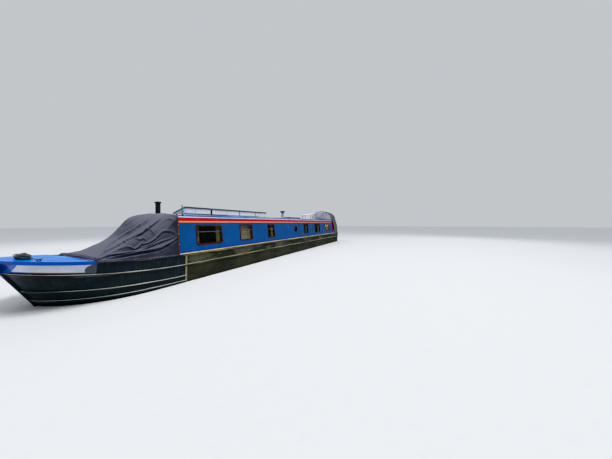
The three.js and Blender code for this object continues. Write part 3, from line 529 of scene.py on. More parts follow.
@dataclass(frozen=True)
class Canvas(Finish):
    """Proofed acrylic canvas: a matt plain weave, faded in patches, and lighter where it faces the sky as
    painted sky light with some sun fading.
    """

    thread: str
    faded: str
    stain: str
    thread_mm: float = 3.2
    hem_z: float = 1.25
    sky_light_and_fade: float = 0.0
    flank: str = ""
    flank_x: float = -6.80

    def dress(self, p: Palette) -> Inputs:
        """Weave, about four times coarser than the real thread so that it shows, with fading, painted sky
        light on upward faces, and stains.
        """
        # Upward faces are lighter: painted sky light, with some sun fading in it.
        sky = p.math("MULTIPLY", p.step(p.upward(), 0.15, 0.85), self.sky_light_and_fade)
        faded = p.patches(320, 6, 0.38, 0.72, (1.4, 1, 1))
        faded = p.math("MAXIMUM", p.math("MULTIPLY", faded, 1.0 - self.sky_light_and_fade * 0.6), sky)
        colour = p.mix(faded, self.thread, self.faded)
        if self.flank:
            colour = p.mix(p.step(p.x, self.flank_x + 0.01, self.flank_x - 0.01), colour, self.flank)
        speck = p.patches(9, 4, 0.35, 0.75)
        colour = p.laid(colour, speck, 0.35, self.stain)
        low = p.step(p.z, self.hem_z + 0.16, self.hem_z - 0.02)
        damp = p.math("MULTIPLY", low, p.patches(90, 5, 0.4, 0.7))
        colour = p.laid(colour, damp, 0.7, self.stain)
        # A wave node repeats every 0.314 of its units.
        inputs = {"Vector": p.place, "Scale": 1000 / self.thread_mm / 3.14}
        warp = add_node(p.tree, "ShaderNodeTexWave", inputs, bands_direction="X")
        weft = add_node(p.tree, "ShaderNodeTexWave", inputs, bands_direction="Z")
        weave = p.bump(p.math("MAXIMUM", warp.outputs[1], weft.outputs[1]), 0.35)
        crumple = p.bump(p.noise(55, 5), 2.5, 0.6, under=weave)
        return {
            "Base Color": colour,
            "Roughness": 0.82,
            "Normal": crumple,
            "Sheen Weight": 0.1,
            "Sheen Roughness": 0.5,
            "Specular IOR Level": 0.3,
        }


@dataclass(frozen=True)
class Metal(Finish):
    """Bare or polished metal with fine brush marks and dull patches."""

    colour: str
    dull: str
    roughness: float = 0.3
    brush_mm: float = 1.5

    def dress(self, p: Palette) -> Inputs:
        """Brush marks and finger-dulled patches."""
        patch = p.patches(45, 5, 0.45, 0.75)
        colour = p.mix(patch, self.colour, self.dull)
        marks = p.bump(p.noise(self.brush_mm, 2, (8, 8, 1)), 0.05)
        rough = p.blend(patch, self.roughness, min(1.0, self.roughness + 0.25))
        return {"Base Color": colour, "Roughness": rough, "Metallic": 1.0, "Normal": marks}


@dataclass(frozen=True)
class PaintedMetal(Finish):
    """Plain painted or anodised metal: an even satin skin, chalky where it has aged."""

    colour: str
    aged: str
    roughness: float = 0.4
    age: Pair = (0.5, 0.8)

    def dress(self, p: Palette) -> Inputs:
        """Chalking, small chips and a fine skin."""
        old = p.step(p.noise(90, 6), *self.age)
        colour = p.mix(old, self.colour, self.aged)
        skin = p.bump(p.noise(8, 3), 0.12)
        rough = p.blend(old, self.roughness, min(1.0, self.roughness + 0.3))
        return {"Base Color": colour, "Roughness": rough, "Normal": skin}


@dataclass(frozen=True)
class Timber(Finish):
    """Planed wood: long darker growth rings, fine pores and, if varnished, a warm clear gloss."""

    pale: str
    dark: str
    ring_mm: float = 26.0
    along: Point = (1, 1, 12)
    varnish: float = 0.6
    board_mm: float = 0.0

    def dress(self, p: Palette) -> Inputs:
        """Growth rings, pores and, for boarding, its joints."""
        rings = p.noise(self.ring_mm, 5, self.along, 0.65)
        colour = p.mix(p.step(rings, 0.35, 0.7), self.pale, self.dark)
        pores = p.step(p.noise(2.4, 3, tuple(6 * a for a in self.along)), 0.55, 0.8)
        colour = p.laid(colour, pores, 0.45, self.dark)
        height = pores
        if self.board_mm:
            board = p.math("FRACT", p.math("MULTIPLY", p.math("ADD", p.y, 10.0), 1000 / self.board_mm))
            joint = p.math("MAXIMUM", p.step(board, 0.04, 0.0), p.step(board, 0.96, 1.0))
            colour = p.mix(joint, colour, "#2A1C10")
            height = p.math("MAXIMUM", pores, joint)
        relief = p.bump(height, -0.4)
        return {"Base Color": colour, "Roughness": 0.35, "Normal": relief, "Coat Weight": self.varnish}


@dataclass(frozen=True)
class WindowGlass(Finish):
    """Float glass, slightly green: it mirrors the sky and lets the dark cabin show through."""

    def dress(self, p: Palette) -> Inputs:
        """Clear glass with a film of dust and rain marks."""
        film = p.patches(70, 5, 0.5, 0.9, (1, 1, 3))
        rough = p.blend(film, 0.02, 0.14)
        return {
            "Base Color": linear("#0B100E"),
            "Roughness": rough,
            "Alpha": 0.3,
            "Specular IOR Level": 1.0,
            "IOR": 1.52,
            "Normal": p.bump(p.noise(340, 1), 0.25),
        }


@dataclass(frozen=True)
class SolarCells(Finish):
    """Monocrystalline cells behind glass: blue black squares, pale fingers and white gaps at the corners."""

    cell_mm: float = 156.0
    cell: str = "#0B1222"
    cell_light: str = "#16213C"

    def dress(self, p: Palette) -> Inputs:
        """A grid of cells with busbars, under smooth glass."""
        u = p.math("FRACT", p.math("MULTIPLY", p.math("ADD", p.x, 10.0), 1000 / self.cell_mm))
        v = p.math("FRACT", p.math("MULTIPLY", p.math("ADD", p.y, 10.0), 1000 / self.cell_mm))
        edge_u = p.math("ABSOLUTE", p.math("SUBTRACT", u, 0.5))
        edge_v = p.math("ABSOLUTE", p.math("SUBTRACT", v, 0.5))
        gap = p.math("MAXIMUM", p.step(edge_u, 0.484, 0.49), p.step(edge_v, 0.484, 0.49))
        corner = p.step(p.math("ADD", edge_u, edge_v), 0.915, 0.925)
        bars = p.math("FRACT", p.math("MULTIPLY", v, 3.0))
        bar = p.step(p.math("ABSOLUTE", p.math("SUBTRACT", bars, 0.5)), 0.025, 0.018)
        colour = p.mix(p.patches(90, 2, 0.3, 0.7), self.cell, self.cell_light)
        colour = p.mix(bar, colour, "#8A9098")
        colour = p.mix(p.math("MAXIMUM", gap, corner), colour, "#C9CCD2")
        rough = p.blend(p.patches(120, 5, 0.4, 0.8), 0.08, 0.3)
        return {"Base Color": colour, "Roughness": rough, "Coat Weight": 1.0, "Coat Roughness": 0.04}


@dataclass(frozen=True)
class Cordage(Finish):
    """Laid rope: matt fibres with dirt in the lay."""

    fibre: str
    dirt: str

    def dress(self, p: Palette) -> Inputs:
        """Fibres, with dirt between the strands."""
        colour = p.mix(p.patches(60, 6, 0.38, 0.68), self.fibre, self.dirt)
        colour = p.mix(p.math("MULTIPLY", p.noise(4, 4), 0.45), colour, self.dirt)
        fuzz = p.bump(p.noise(2.2, 4), 0.5)
        return {
            "Base Color": colour, "Roughness": 0.9, "Normal": fuzz, "Sheen Weight": 0.15,
            "Sheen Roughness": 0.4,
        }


@dataclass(frozen=True)
class SoftCloth(Finish):
    """Curtain and blind cloth: matt, with light passing through the folds."""

    thread: str
    shade: str
    thread_mm: float = 2.0

    def dress(self, p: Palette) -> Inputs:
        """Slubs in the thread and a faint stripe."""
        colour = p.mix(p.patches(50, 4, 0.35, 0.7, (0.6, 0.6, 5)), self.thread, self.shade)
        slubs = p.bump(p.noise(self.thread_mm, 3, (1, 1, 6)), 0.3)
        return {"Base Color": colour, "Roughness": 0.85, "Normal": slubs, "Sheen Weight": 0.1}


# Finishes, each named for the real surface.
# Coach enamel shows deep and wet, with the light in long soft streaks over the dents of the plate.
CABIN_BLUE = CabinEnamel("cabin_side_coach_enamel", "#00447F", "#003C6E", dust=0.1)
PLAIN_BLUE = Enamel("bulkhead_coach_enamel", "#004C96", "#003E80")
NAVY = Enamel("handrail_navy_enamel", "#17307E", "#102460", roughness=0.12, dust=0.1)
# The roof's light edge and the handrails' mid blue outer faces are painted sky reflection on navy steel.
ROOF_EDGE_PAINTED_SKY = Enamel("roof_edge_enamel_painted_sky_reflection", "#A9C4E4", "#C4D8EE", roughness=0.12, dust=0.05)
RAIL_SIDE_PAINTED_SKY = Enamel("handrail_side_enamel_painted_sky_reflection", "#4E7CBE", "#7FA2D2", roughness=0.12, dust=0.08)
# Sanded paint is the same navy, broken to a dull bloom by its grit.
ROOF_TOP = DeckPaint("roof_sanded_navy_paint", "#1B3566", "#2A4270")
# These two face the sky: clear bright colour with little mirror in it. The foredeck's sky blue, paler in
# patches, is partly painted sky reflection.
CAPPING = Enamel(
    "capping_bright_blue_enamel", "#004CAC", "#004096", roughness=0.2, dust=0.06, coat=0.0, shine=0.25
)
FOREDECK = Enamel(
    "foredeck_blue_enamel_and_painted_sky_reflection", "#0A62C0", "#2C8CD8", roughness=0.16, dust=0.06, coat=0.0, shine=0.25
)
# Walked on decks are matt, trodden pale, with dirt in the grain.
AFT_DECK = DeckPaint("aft_deck_sanded_paint", "#2A3038", "#474A48")
WELL_PAINT = DeckPaint("well_deck_sanded_paint", "#5A5E5C", "#77776C")
GUNWALE = DeckPaint(
    "gunwale_worn_beige_paint", "#A89B6C", "#75664A", grit_mm=9, grit_depth_mm=0.7, gloss=0.5
)
# Blacking is blue black and half glossy when fresh, olive and dull with silt and rust when old.
BLACKING = Blacking("hull_bitumen_blacking")
FRESH_BLACKING = Blacking("bow_bitumen_blacking", weather=False)
DEEP_BLACKING = Blacking(
    "underwater_bitumen_blacking", worn="#26281F", worn_light="#3C3B2C", slime="#232114"
)
# Rubbing steel is dark, with a pale line along its top edges that is partly scraped metal and partly painted
# highlight.
FRESH_GUARD = GuardSteel("fresh_strake_steel", "#141A1A", "#B4B6AC", wear=(0.5, 0.8), ledge_highlight_and_wear=0.85)
WORN_GUARD = GuardSteel("worn_strake_steel", "#23241C", "#9C9C7E", ledge_highlight_and_wear=0.95)
POST_STEEL = GuardSteel("side_bar_steel", "#55573F", "#A3A283", wear=(0.25, 0.5))
EDGE_GUARD = GuardSteel("gunwale_edge_steel", "#3D3128", "#D6C88E", wear=(0.45, 0.7), ledge_highlight_and_wear=1.0)
# The bow's scheme is flat fields of colour with crisp edges.
BOW = BowPaint("bow_coach_enamel")
# Galvanised steel is grey and dull, polished tube and brass mirror bright, cast bronze dark and warm.
BARE_STEEL = Metal("galvanised_steel", "#8E9294", "#5F6264", 0.42)
TUBE_STEEL = Metal("polished_stainless_tube", "#C4C6C8", "#9A9C9E", 0.18)
BRASS = Metal("polished_brass", "#D2AE62", "#9C7A3C", 0.16)
BRONZE = Metal("cast_manganese_bronze", "#A9804A", "#5E5A3C", 0.38)
# Anodised aluminium is an even satin: brown frames, and a silver strip on the sash bars that is a painted
# highlight.
FRAME_BRONZE = PaintedMetal("window_bronze_anodised_aluminium", "#352012", "#523A26", 0.28)
SASH_HIGHLIGHT_AND_EYELET_SILVER = PaintedMetal("sash_highlight_and_eyelet_silver_aluminium", "#7E8686", "#5C6364", 0.25)
# Glass is dark, with the sky in it under a film of dust.
GLASS = WindowGlass("cabin_float_glass")
# Wood shows rings and pores, warm and glossy where it is varnished.
LINING = Timber("cabin_lining_pine_boards", "#B98A54", "#8A5E32", board_mm=90, along=(12, 1, 1), varnish=0.3)
DOOR_WOOD = Timber("door_varnished_mahogany", "#7A3F1C", "#4A220E")
TRIM_WOOD = Timber("trim_stained_hardwood", "#5E3018", "#3A1C0E", varnish=0.4)
FLOOR_WOOD = Timber("floor_bare_planking", "#A5845A", "#6F5435", along=(12, 1, 1), varnish=0.1, board_mm=140)
# The panels are white boards, thin black edges and blue black cells.
PANEL_WHITE = PaintedMetal("solar_backsheet_white_film", "#C6C9D0", "#ADB0B9", 0.35)
PANEL_EDGE = PaintedMetal("solar_frame_black_anodised_aluminium", "#101214", "#2A2C2E", 0.35)
CELLS = SolarCells("solar_monocrystalline_cells")
# Painted steel on the roof is clean and glossy, or chalky and sooty where it is old.
PIN_TEAL = PaintedMetal("rail_pin_teal_enamel", "#2A6E74", "#1D5258", 0.3)
RACK_WHITE = PaintedMetal("rack_white_gloss_paint", "#D5D6DA", "#B0B0A8", 0.35)
FLUE_BLACK = PaintedMetal("flue_stove_black_paint", "#18181B", "#2E2A28", 0.6)
FLUE_GREY = PaintedMetal("flue_weathered_aluminium_paint", "#9B9D99", "#77756C", 0.45)
# Canvas is matt: near black, lighter lavender grey where it faces the sky as painted sky light with some sun
# fading, and a grey hood.
COVER = Canvas("cratch_cover_acrylic_canvas", "#26272F", "#4D4F5B", "#1C1D24", sky_light_and_fade=1.0)
COVER_HEM = Canvas("cratch_cover_hem_webbing", "#232239", "#3A3950", "#17161D")
COVER_EDGING = Canvas("cratch_cover_brown_edging", "#4A2C1C", "#5C3C28", "#2A1A12")
COVER_WEB = Canvas("cratch_cover_edge_webbing", "#4B4A55", "#68666C", "#2C2C33")
HOOD_CANVAS = Canvas("hood_acrylic_canvas", "#84828F", "#A3A1B0", "#55535F", flank="#3C3936")
HOOD_BAND = Canvas("hood_band_webbing", "#5E5C68", "#74727E", "#45434E")
# Rope is dull, dark in its lay, with a whipping that stands out.
ROPE = Cordage("mooring_rope_polypropylene", "#636963", "#2C3134")
ROPE_TEAL = Cordage("rope_end_teal_whipping", "#1F6F78", "#12454C")
FENDER_ROPE = Cordage("fender_tarred_hemp", "#3B352A", "#1C1914")
# Curtains and blinds are pale and soft behind the dark glass.
CURTAIN = SoftCloth("curtain_cream_cotton", "#C9BF96", "#9A8E66")
BLIND = SoftCloth("blind_beige_linen", "#E0D2AE", "#C4B68E")
# Small enamels: a dull green engine, and sign painter's colours that are bright on black.
ENGINE_GREEN = PaintedMetal("engine_green_enamel", "#2F5240", "#25392E", 0.3)
ROSE_BACK = Enamel("rose_panel_black_enamel", "#101410", "#18201A", roughness=0.14)
ROSE_RED = Enamel("rose_red_enamel", "#B0161A", "#7E0C12", roughness=0.14)
ROSE_ORANGE = Enamel("rose_orange_enamel", "#E88A1C", "#D0701A", roughness=0.14)
ROSE_WHITE = Enamel("rose_white_enamel", "#DCD8C8", "#C9C2AC", roughness=0.14)
LEAF_GREEN = Enamel("leaf_green_enamel", "#2F6A2C", "#1E4A22", roughness=0.14)


class Shape:
    """Faces gathered for one piece, each with the number of its finish."""

    def __init__(self) -> None:
        """Starts empty."""
        self.points: list[Point] = []
        self.faces: list[tuple[int, ...]] = []
        self.finish: list[int] = []

    def add(self, points: Line, faces: Sequence[Sequence[int]], finish: int = 0) -> None:
        """Adds faces over their own points.

        Args:
            points: the points.
            faces: the numbers of each face's points.
            finish: the number of their finish.
        """
        base = len(self.points)
        self.points.extend(tuple(float(v) for v in point) for point in points)
        self.faces.extend(tuple(base + i for i in face) for face in faces)
        self.finish.extend([finish] * len(faces))

    def grid(self, rows: Sequence[Line], finish: int = 0, ring: bool = False, caps: bool = False) -> None:
        """Adds a sheet of quads over rows of points.

        Args:
            rows: the rows, all of one length.
            finish: the number of its finish.
            ring: whether each row closes on itself.
            caps: whether the first and last rows are closed with a face.
        """
        count = len(rows[0])
        points = [point for row in rows for point in row]
        faces = []
        for k in range(len(rows) - 1):
            for i in range(count if ring else count - 1):
                j = (i + 1) % count
                faces.append((k * count + i, k * count + j, (k + 1) * count + j, (k + 1) * count + i))
        if caps:
            faces.append(tuple(reversed(range(count))))
            faces.append(tuple((len(rows) - 1) * count + i for i in range(count)))
        self.add(points, faces, finish)

    def box(self, low: Point, high: Point, finish: int = 0) -> None:
        """Adds a block between two corners."""
        ring = [(low[0], low[1]), (high[0], low[1]), (high[0], high[1]), (low[0], high[1])]
        self.grid([[(x, y, z) for x, y in ring] for z in (low[2], high[2])], finish, ring=True, caps=True)

    def turned(self, profile: Sequence[Pair], place: Matrix, finish: int = 0, steps: int = 32) -> None:
        """Adds a turned body from (radius, height) points, its axis along the placing's Z.

        Args:
            profile: its outline.
            place: where it stands.
            finish: the number of its finish.
            steps: how many points a ring has.
        """
        rows = []
        for radius, height in profile:
            angles = [math.tau * i / steps for i in range(steps)]
            rows.append(
                [place @ Vector((radius * math.cos(a), radius * math.sin(a), height)) for a in angles]
            )
        self.grid(rows, finish, ring=True, caps=True)

    def tube(self, path: Line, radius: Callable[[int, float], float], sides: int, finish: int = 0) -> None:
        """Adds a tube along a path.

        Args:
            path: its centre line.
            radius: the radius at a step and an angle.
            sides: how many points its section has.
            finish: the number of its finish.
        """
        points = [Vector(p) for p in path]
        last = len(points) - 1
        tangents = [(points[min(i + 1, last)] - points[max(i - 1, 0)]).normalized() for i in range(last + 1)]
        normal = tangents[0].orthogonal().normalized()
        rows = []
        for i, (centre, tangent) in enumerate(zip(points, tangents)):
            normal = (normal - tangent * normal.dot(tangent)).normalized()
            side = tangent.cross(normal)
            angles = [math.tau * k / sides for k in range(sides)]
            rows.append(
                [centre + (normal * math.cos(a) + side * math.sin(a)) * radius(i, a) for a in angles]
            )
        self.grid(rows, finish, ring=True, caps=True)

    def piece(
        self,
        name: str,
        finishes: Sequence[Finish],
        slot: str,
        body: str = "hull",
        bevel: float = 0.0,
        angle: float = 35.0,
    ) -> Piece:
        """Makes the Blender object and lets it ride on a body.

        Args:
            name: the piece's name.
            finishes: its finishes, in the order of their numbers.
            slot: the record's material slot; not used.
            body: the CAD body that carries it.
            bevel: the width of the rounding on its edges.
            angle: edges sharper than this stay sharp, in degrees.

        Returns:
            The object.
        """
        mesh = bpy.data.meshes.new(name)
        mesh.from_pydata(self.points, [], self.faces)
        mesh.polygons.foreach_set("material_index", self.finish)
        work = bmesh.new()
        work.from_mesh(mesh)
        bmesh.ops.remove_doubles(work, verts=work.verts, dist=1e-5)
        bmesh.ops.recalc_face_normals(work, faces=work.faces)
        work.to_mesh(mesh)
        work.free()
        for finish in finishes:
            mesh.materials.append(finish.material())
        mesh.shade_smooth()
        made = bpy.data.objects.new(name, mesh)
        bpy.context.scene.collection.objects.link(made)
        if bevel:
            round_edges(made, bevel, angle)
        else:
            mesh.set_sharp_from_angle(angle=math.radians(angle))
        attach(made, body)
        log.info("%s: %d faces on %s", name, len(mesh.polygons), body)
        return made


def facing(place: Sequence[float], way: Sequence[float]) -> Matrix:
    """A placing at a point, with its Z axis along a direction."""
    return Matrix.Translation(place) @ Vector(way).to_track_quat("Z", "Y").to_matrix().to_4x4()


def round_edges(piece: bpy.types.Object, width: float, angle: float) -> None:
    """Rounds a piece's sharp edges with a bevel that keeps its flat faces flat.

    Args:
        piece: the piece.
        width: the rounding's width.
        angle: edges sharper than this are rounded, in degrees.
    """
    bevel = piece.modifiers.new("rounded_edges", "BEVEL")
    bevel.width = width
    bevel.segments = 2
    bevel.limit_method = "ANGLE"
    bevel.angle_limit = math.radians(angle)
    bevel.harden_normals = True
    bevel.use_clamp_overlap = True


def dress_node(
    name: str,
    finishes: Sequence[Finish],
    pick: Callable[[Vector, Vector, list[Vector]], int] | None = None,
    bevel: float = 0.0,
    angle: float = 32.0,
) -> None:
    """Gives a CAD node its finishes and smooth or rounded edges.

    Args:
        name: the node.
        finishes: the finishes that its faces may have.
        pick: chooses a finish's number from a face's centre, normal and corners, or all get the first.
        bevel: the width of its rounded edges.
        angle: edges sharper than this show as edges, in degrees.
    """
    piece = NODES[name]
    mesh = piece.data
    for layer in ("custom_normal", "sharp_edge", "sharp_face"):
        if layer in mesh.attributes:
            mesh.attributes.remove(mesh.attributes[layer])
    mesh.materials.clear()
    for finish in finishes:
        mesh.materials.append(finish.material())
    for face in mesh.polygons:
        corners = [mesh.vertices[k].co for k in face.vertices]
        face.material_index = pick(face.center, face.normal, corners) if pick else 0
    mesh.shade_smooth()
    weld = piece.modifiers.new("merged_corners", "WELD")
    weld.merge_threshold = 1e-5
    if bevel:
        # The triangles of flat faces are joined first, so only real edges are rounded.
        flat = piece.modifiers.new("joined_flats", "DECIMATE")
        flat.decimate_type = "DISSOLVE"
        flat.angle_limit = math.radians(0.6)
        flat.delimit = {"MATERIAL"}
        round_edges(piece, bevel, angle)
    else:
        split = piece.modifiers.new("kept_edges", "EDGE_SPLIT")
        split.split_angle = math.radians(angle)
        split.use_edge_sharp = False
        # Large faces lead the shading, so slivers beside them leave no dark or pale marks.
        even_shade = piece.modifiers.new("even_shading", "WEIGHTED_NORMAL")
        even_shade.mode = "FACE_AREA"
        even_shade.weight = 100
        even_shade.keep_sharp = True
    log.info("dressed %s", name)


@dataclass
class Stage:
    """The camera, the floor at the height that the boat floats at, and soft light."""

    eye: Point = (9.985, 6.0365, 1.984)
    look: Point = (-0.9165, -0.400, 0.0)
    lens: float = 13.41
    shift_y: float = -0.0111
    floor_z: float = FLOAT_Z
    floor_reach: float = 90.0
    # The sky's strength at the horizon and overhead, and the strength of the backdrop that the camera sees.
    low_light: float = 0.18
    top_light: float = 1.25
    backdrop: float = 0.8
    lamp_target: Point = (2, 0, 1)
    lamps: tuple = (
        ("key", (6, 7, 17), 8.0, 3300.0), ("fill", (-14, 12, 12), 9.0, 900.0),
        ("far", (2, -14, 12), 10.0, 700.0),
    )

    def build(self) -> None:
        """Makes the camera, the floor, the sky and the lamps."""
        lens = bpy.data.cameras.new("camera")
        lens.lens = self.lens
        lens.sensor_width = 36.0
        lens.sensor_fit = "HORIZONTAL"
        lens.shift_y = self.shift_y
        lens.clip_end = 300.0
        camera = bpy.data.objects.new("camera", lens)
        back = -Vector(self.look).normalized()
        right = Vector((0, 0, 1)).cross(back).normalized()
        up = back.cross(right)
        turn = Matrix((right, up, back)).transposed().to_4x4()
        camera.matrix_world = Matrix.Translation(self.eye) @ turn
        bpy.context.scene.collection.objects.link(camera)
        bpy.context.scene.camera = camera
        self.floor()
        self.light()

    def floor(self) -> None:
        """A wide pale floor, which is stage and not part of the boat."""
        mesh = bpy.data.meshes.new("floor")
        reach = self.floor_reach
        corners = [(-reach, -reach), (reach, -reach), (reach, reach), (-reach, reach)]
        mesh.from_pydata([(x, y, self.floor_z) for x, y in corners], [], [(0, 1, 2, 3)])
        mesh.materials.append(PaintedMetal("studio_floor_matt_paint", "#C2C3C4", "#BDBEC0", 0.7).material())
        floor = bpy.data.objects.new("floor", mesh)
        bpy.context.scene.collection.objects.link(floor)

    def light(self) -> None:
        """A soft sky, bright overhead and dim at the horizon, with three broad lamps."""
        bpy.context.scene.view_settings.view_transform = "Khronos PBR Neutral"
        world = bpy.data.worlds.new("soft_studio")
        world.use_nodes = True
        tree = world.node_tree
        tree.nodes.clear()
        up = add_node(
            tree, "ShaderNodeSeparateXYZ", {0: add_node(tree, "ShaderNodeTexCoord").outputs["Generated"]}
        )
        ramp = add_node(
            tree, "ShaderNodeMapRange",
            {0: up.outputs[2], 1: 0.0, 2: 0.65, 3: self.low_light, 4: self.top_light},
        )
        sky = add_node(
            tree, "ShaderNodeBackground", {"Color": linear("#E6EBF2"), "Strength": ramp.outputs[0]}
        )
        wall = add_node(
            tree, "ShaderNodeBackground", {"Color": linear("#DDE1E5"), "Strength": self.backdrop}
        )
        seen = add_node(tree, "ShaderNodeLightPath").outputs["Is Camera Ray"]
        both = add_node(tree, "ShaderNodeMixShader", {0: seen, 1: sky.outputs[0], 2: wall.outputs[0]})
        add_node(tree, "ShaderNodeOutputWorld", {"Surface": both.outputs[0]})
        bpy.context.scene.world = world
        for name, place, size, power in self.lamps:
            lamp = bpy.data.lights.new(name, "AREA")
            lamp.size = size
            lamp.energy = power
            holder = bpy.data.objects.new(name, lamp)
            holder.matrix_world = facing(place, Vector(place) - Vector(self.lamp_target))
            bpy.context.scene.collection.objects.link(holder)


@dataclass
class MooringRope:
    """The mooring rope, in a round coil beside the stud on the foredeck, its end led down beside it."""

    middle: Pair = (8.410, 0.260)
    diameter: float = 0.012
    inner: float = 0.0415
    turns: int = 5
    layers: int = 7
    full_layers: int = 5
    steps: int = 40
    lay: float = 0.042
    layer_pitch: float = 0.98
    climb_from: float = 0.93
    tail_turn: float = 0.93
    whipping: float = 0.090
    step: float = 0.0055

    def spot(self, radius: float, angle: float, height: float) -> Point:
        """A point of the coil: its distance and direction from the middle and its height over the deck."""
        x = self.middle[0] + radius * math.cos(angle)
        y = self.middle[1] + radius * math.sin(angle)
        return x, y, fore_deck_z(x, y) + height

    def path(self) -> list[Point]:
        """The rope's centre line, in layers that run out and in by turns, and its tail.

        Returns:
            Its points, from the inmost turn to the whipped end.
        """
        chance = random.Random(11)
        points = []
        pitch = self.diameter * 1.04
        outer = self.inner + pitch * (self.turns - 1)
        sway = [(chance.uniform(-1, 1), chance.uniform(0, math.tau)) for _ in range(self.layers)]
        radius = angle = height = 0.0
        for layer in range(self.layers):
            # The layers over the full ones hold fewer turns, so the coil rounds off.
            count = self.turns - max(0, layer - self.full_layers + 1)
            height = self.diameter * (0.55 + self.layer_pitch * layer)
            for k in range(count * self.steps):
                share = k / (count * self.steps - 1)
                out = share if layer % 2 == 0 else 1 - share
                radius = self.inner + (outer - self.inner - pitch * (self.turns - count)) * out
                angle = math.tau * (k / self.steps) + layer * 0.7
                wobble = 1 + 0.022 * sway[layer][0] * math.sin(2 * angle + sway[layer][1])
                climb = 0.0
                if layer < self.layers - 1:
                    climb = max(0.0, share - self.climb_from) / (1 - self.climb_from)
                lift = climb * self.diameter * self.layer_pitch
                points.append(self.spot(radius * wobble, angle, height + lift))
        wide = outer + pitch
        stations = (0.0, 0.2, 0.42, 0.85, 1.0)
        reach = (radius, outer, wide + 0.002, wide + 0.003, wide + 0.018)
        falls = (height, height, height * 0.72, self.diameter * 0.55, self.diameter * 0.52)
        for k in range(1, 61):
            share = k / 60
            way = float(np.interp(share, stations, reach))
            fall = float(np.interp(share, stations, falls))
            points.append(self.spot(way, angle + math.tau * self.tail_turn * share, fall))
        return points

    def build(self) -> None:
        path = even(self.path(), self.step)
        strand = 0.5 * self.diameter

        def section(step: int, angle: float) -> float:
            """Three lobes that turn with the lay."""
            turned = math.tau * step * self.step / (3 * self.lay)
            return strand * (0.86 + 0.14 * math.cos(3 * (angle - turned)))

        shape = Shape()
        shape.tube(path, section, 12)
        rope = shape.piece("mooring_rope", [ROPE], "rope", angle=80.0)
        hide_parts("rope_coil")
        wrap = Shape()
        end = path[-int(self.whipping / self.step) :]
        wrap.tube(end, lambda step, angle: strand * (1.09 + 0.05 * (step % 2)), 20)
        whipping = wrap.piece("rope_whipping", [ROPE_TEAL], "rope", angle=60.0)


def even(path: Line, step: float) -> list[Point]:
    """Resamples a line at an even step.

    Args:
        path: the line's points.
        step: the distance between the new points.

    Returns:
        The new points.
    """
    points = np.array(path, float)
    runs = np.concatenate([[0], np.cumsum(np.linalg.norm(np.diff(points, axis=0), axis=1))])
    stations = np.arange(0, runs[-1], step)
    return [tuple(float(np.interp(s, runs, points[:, k])) for k in range(3)) for s in stations]


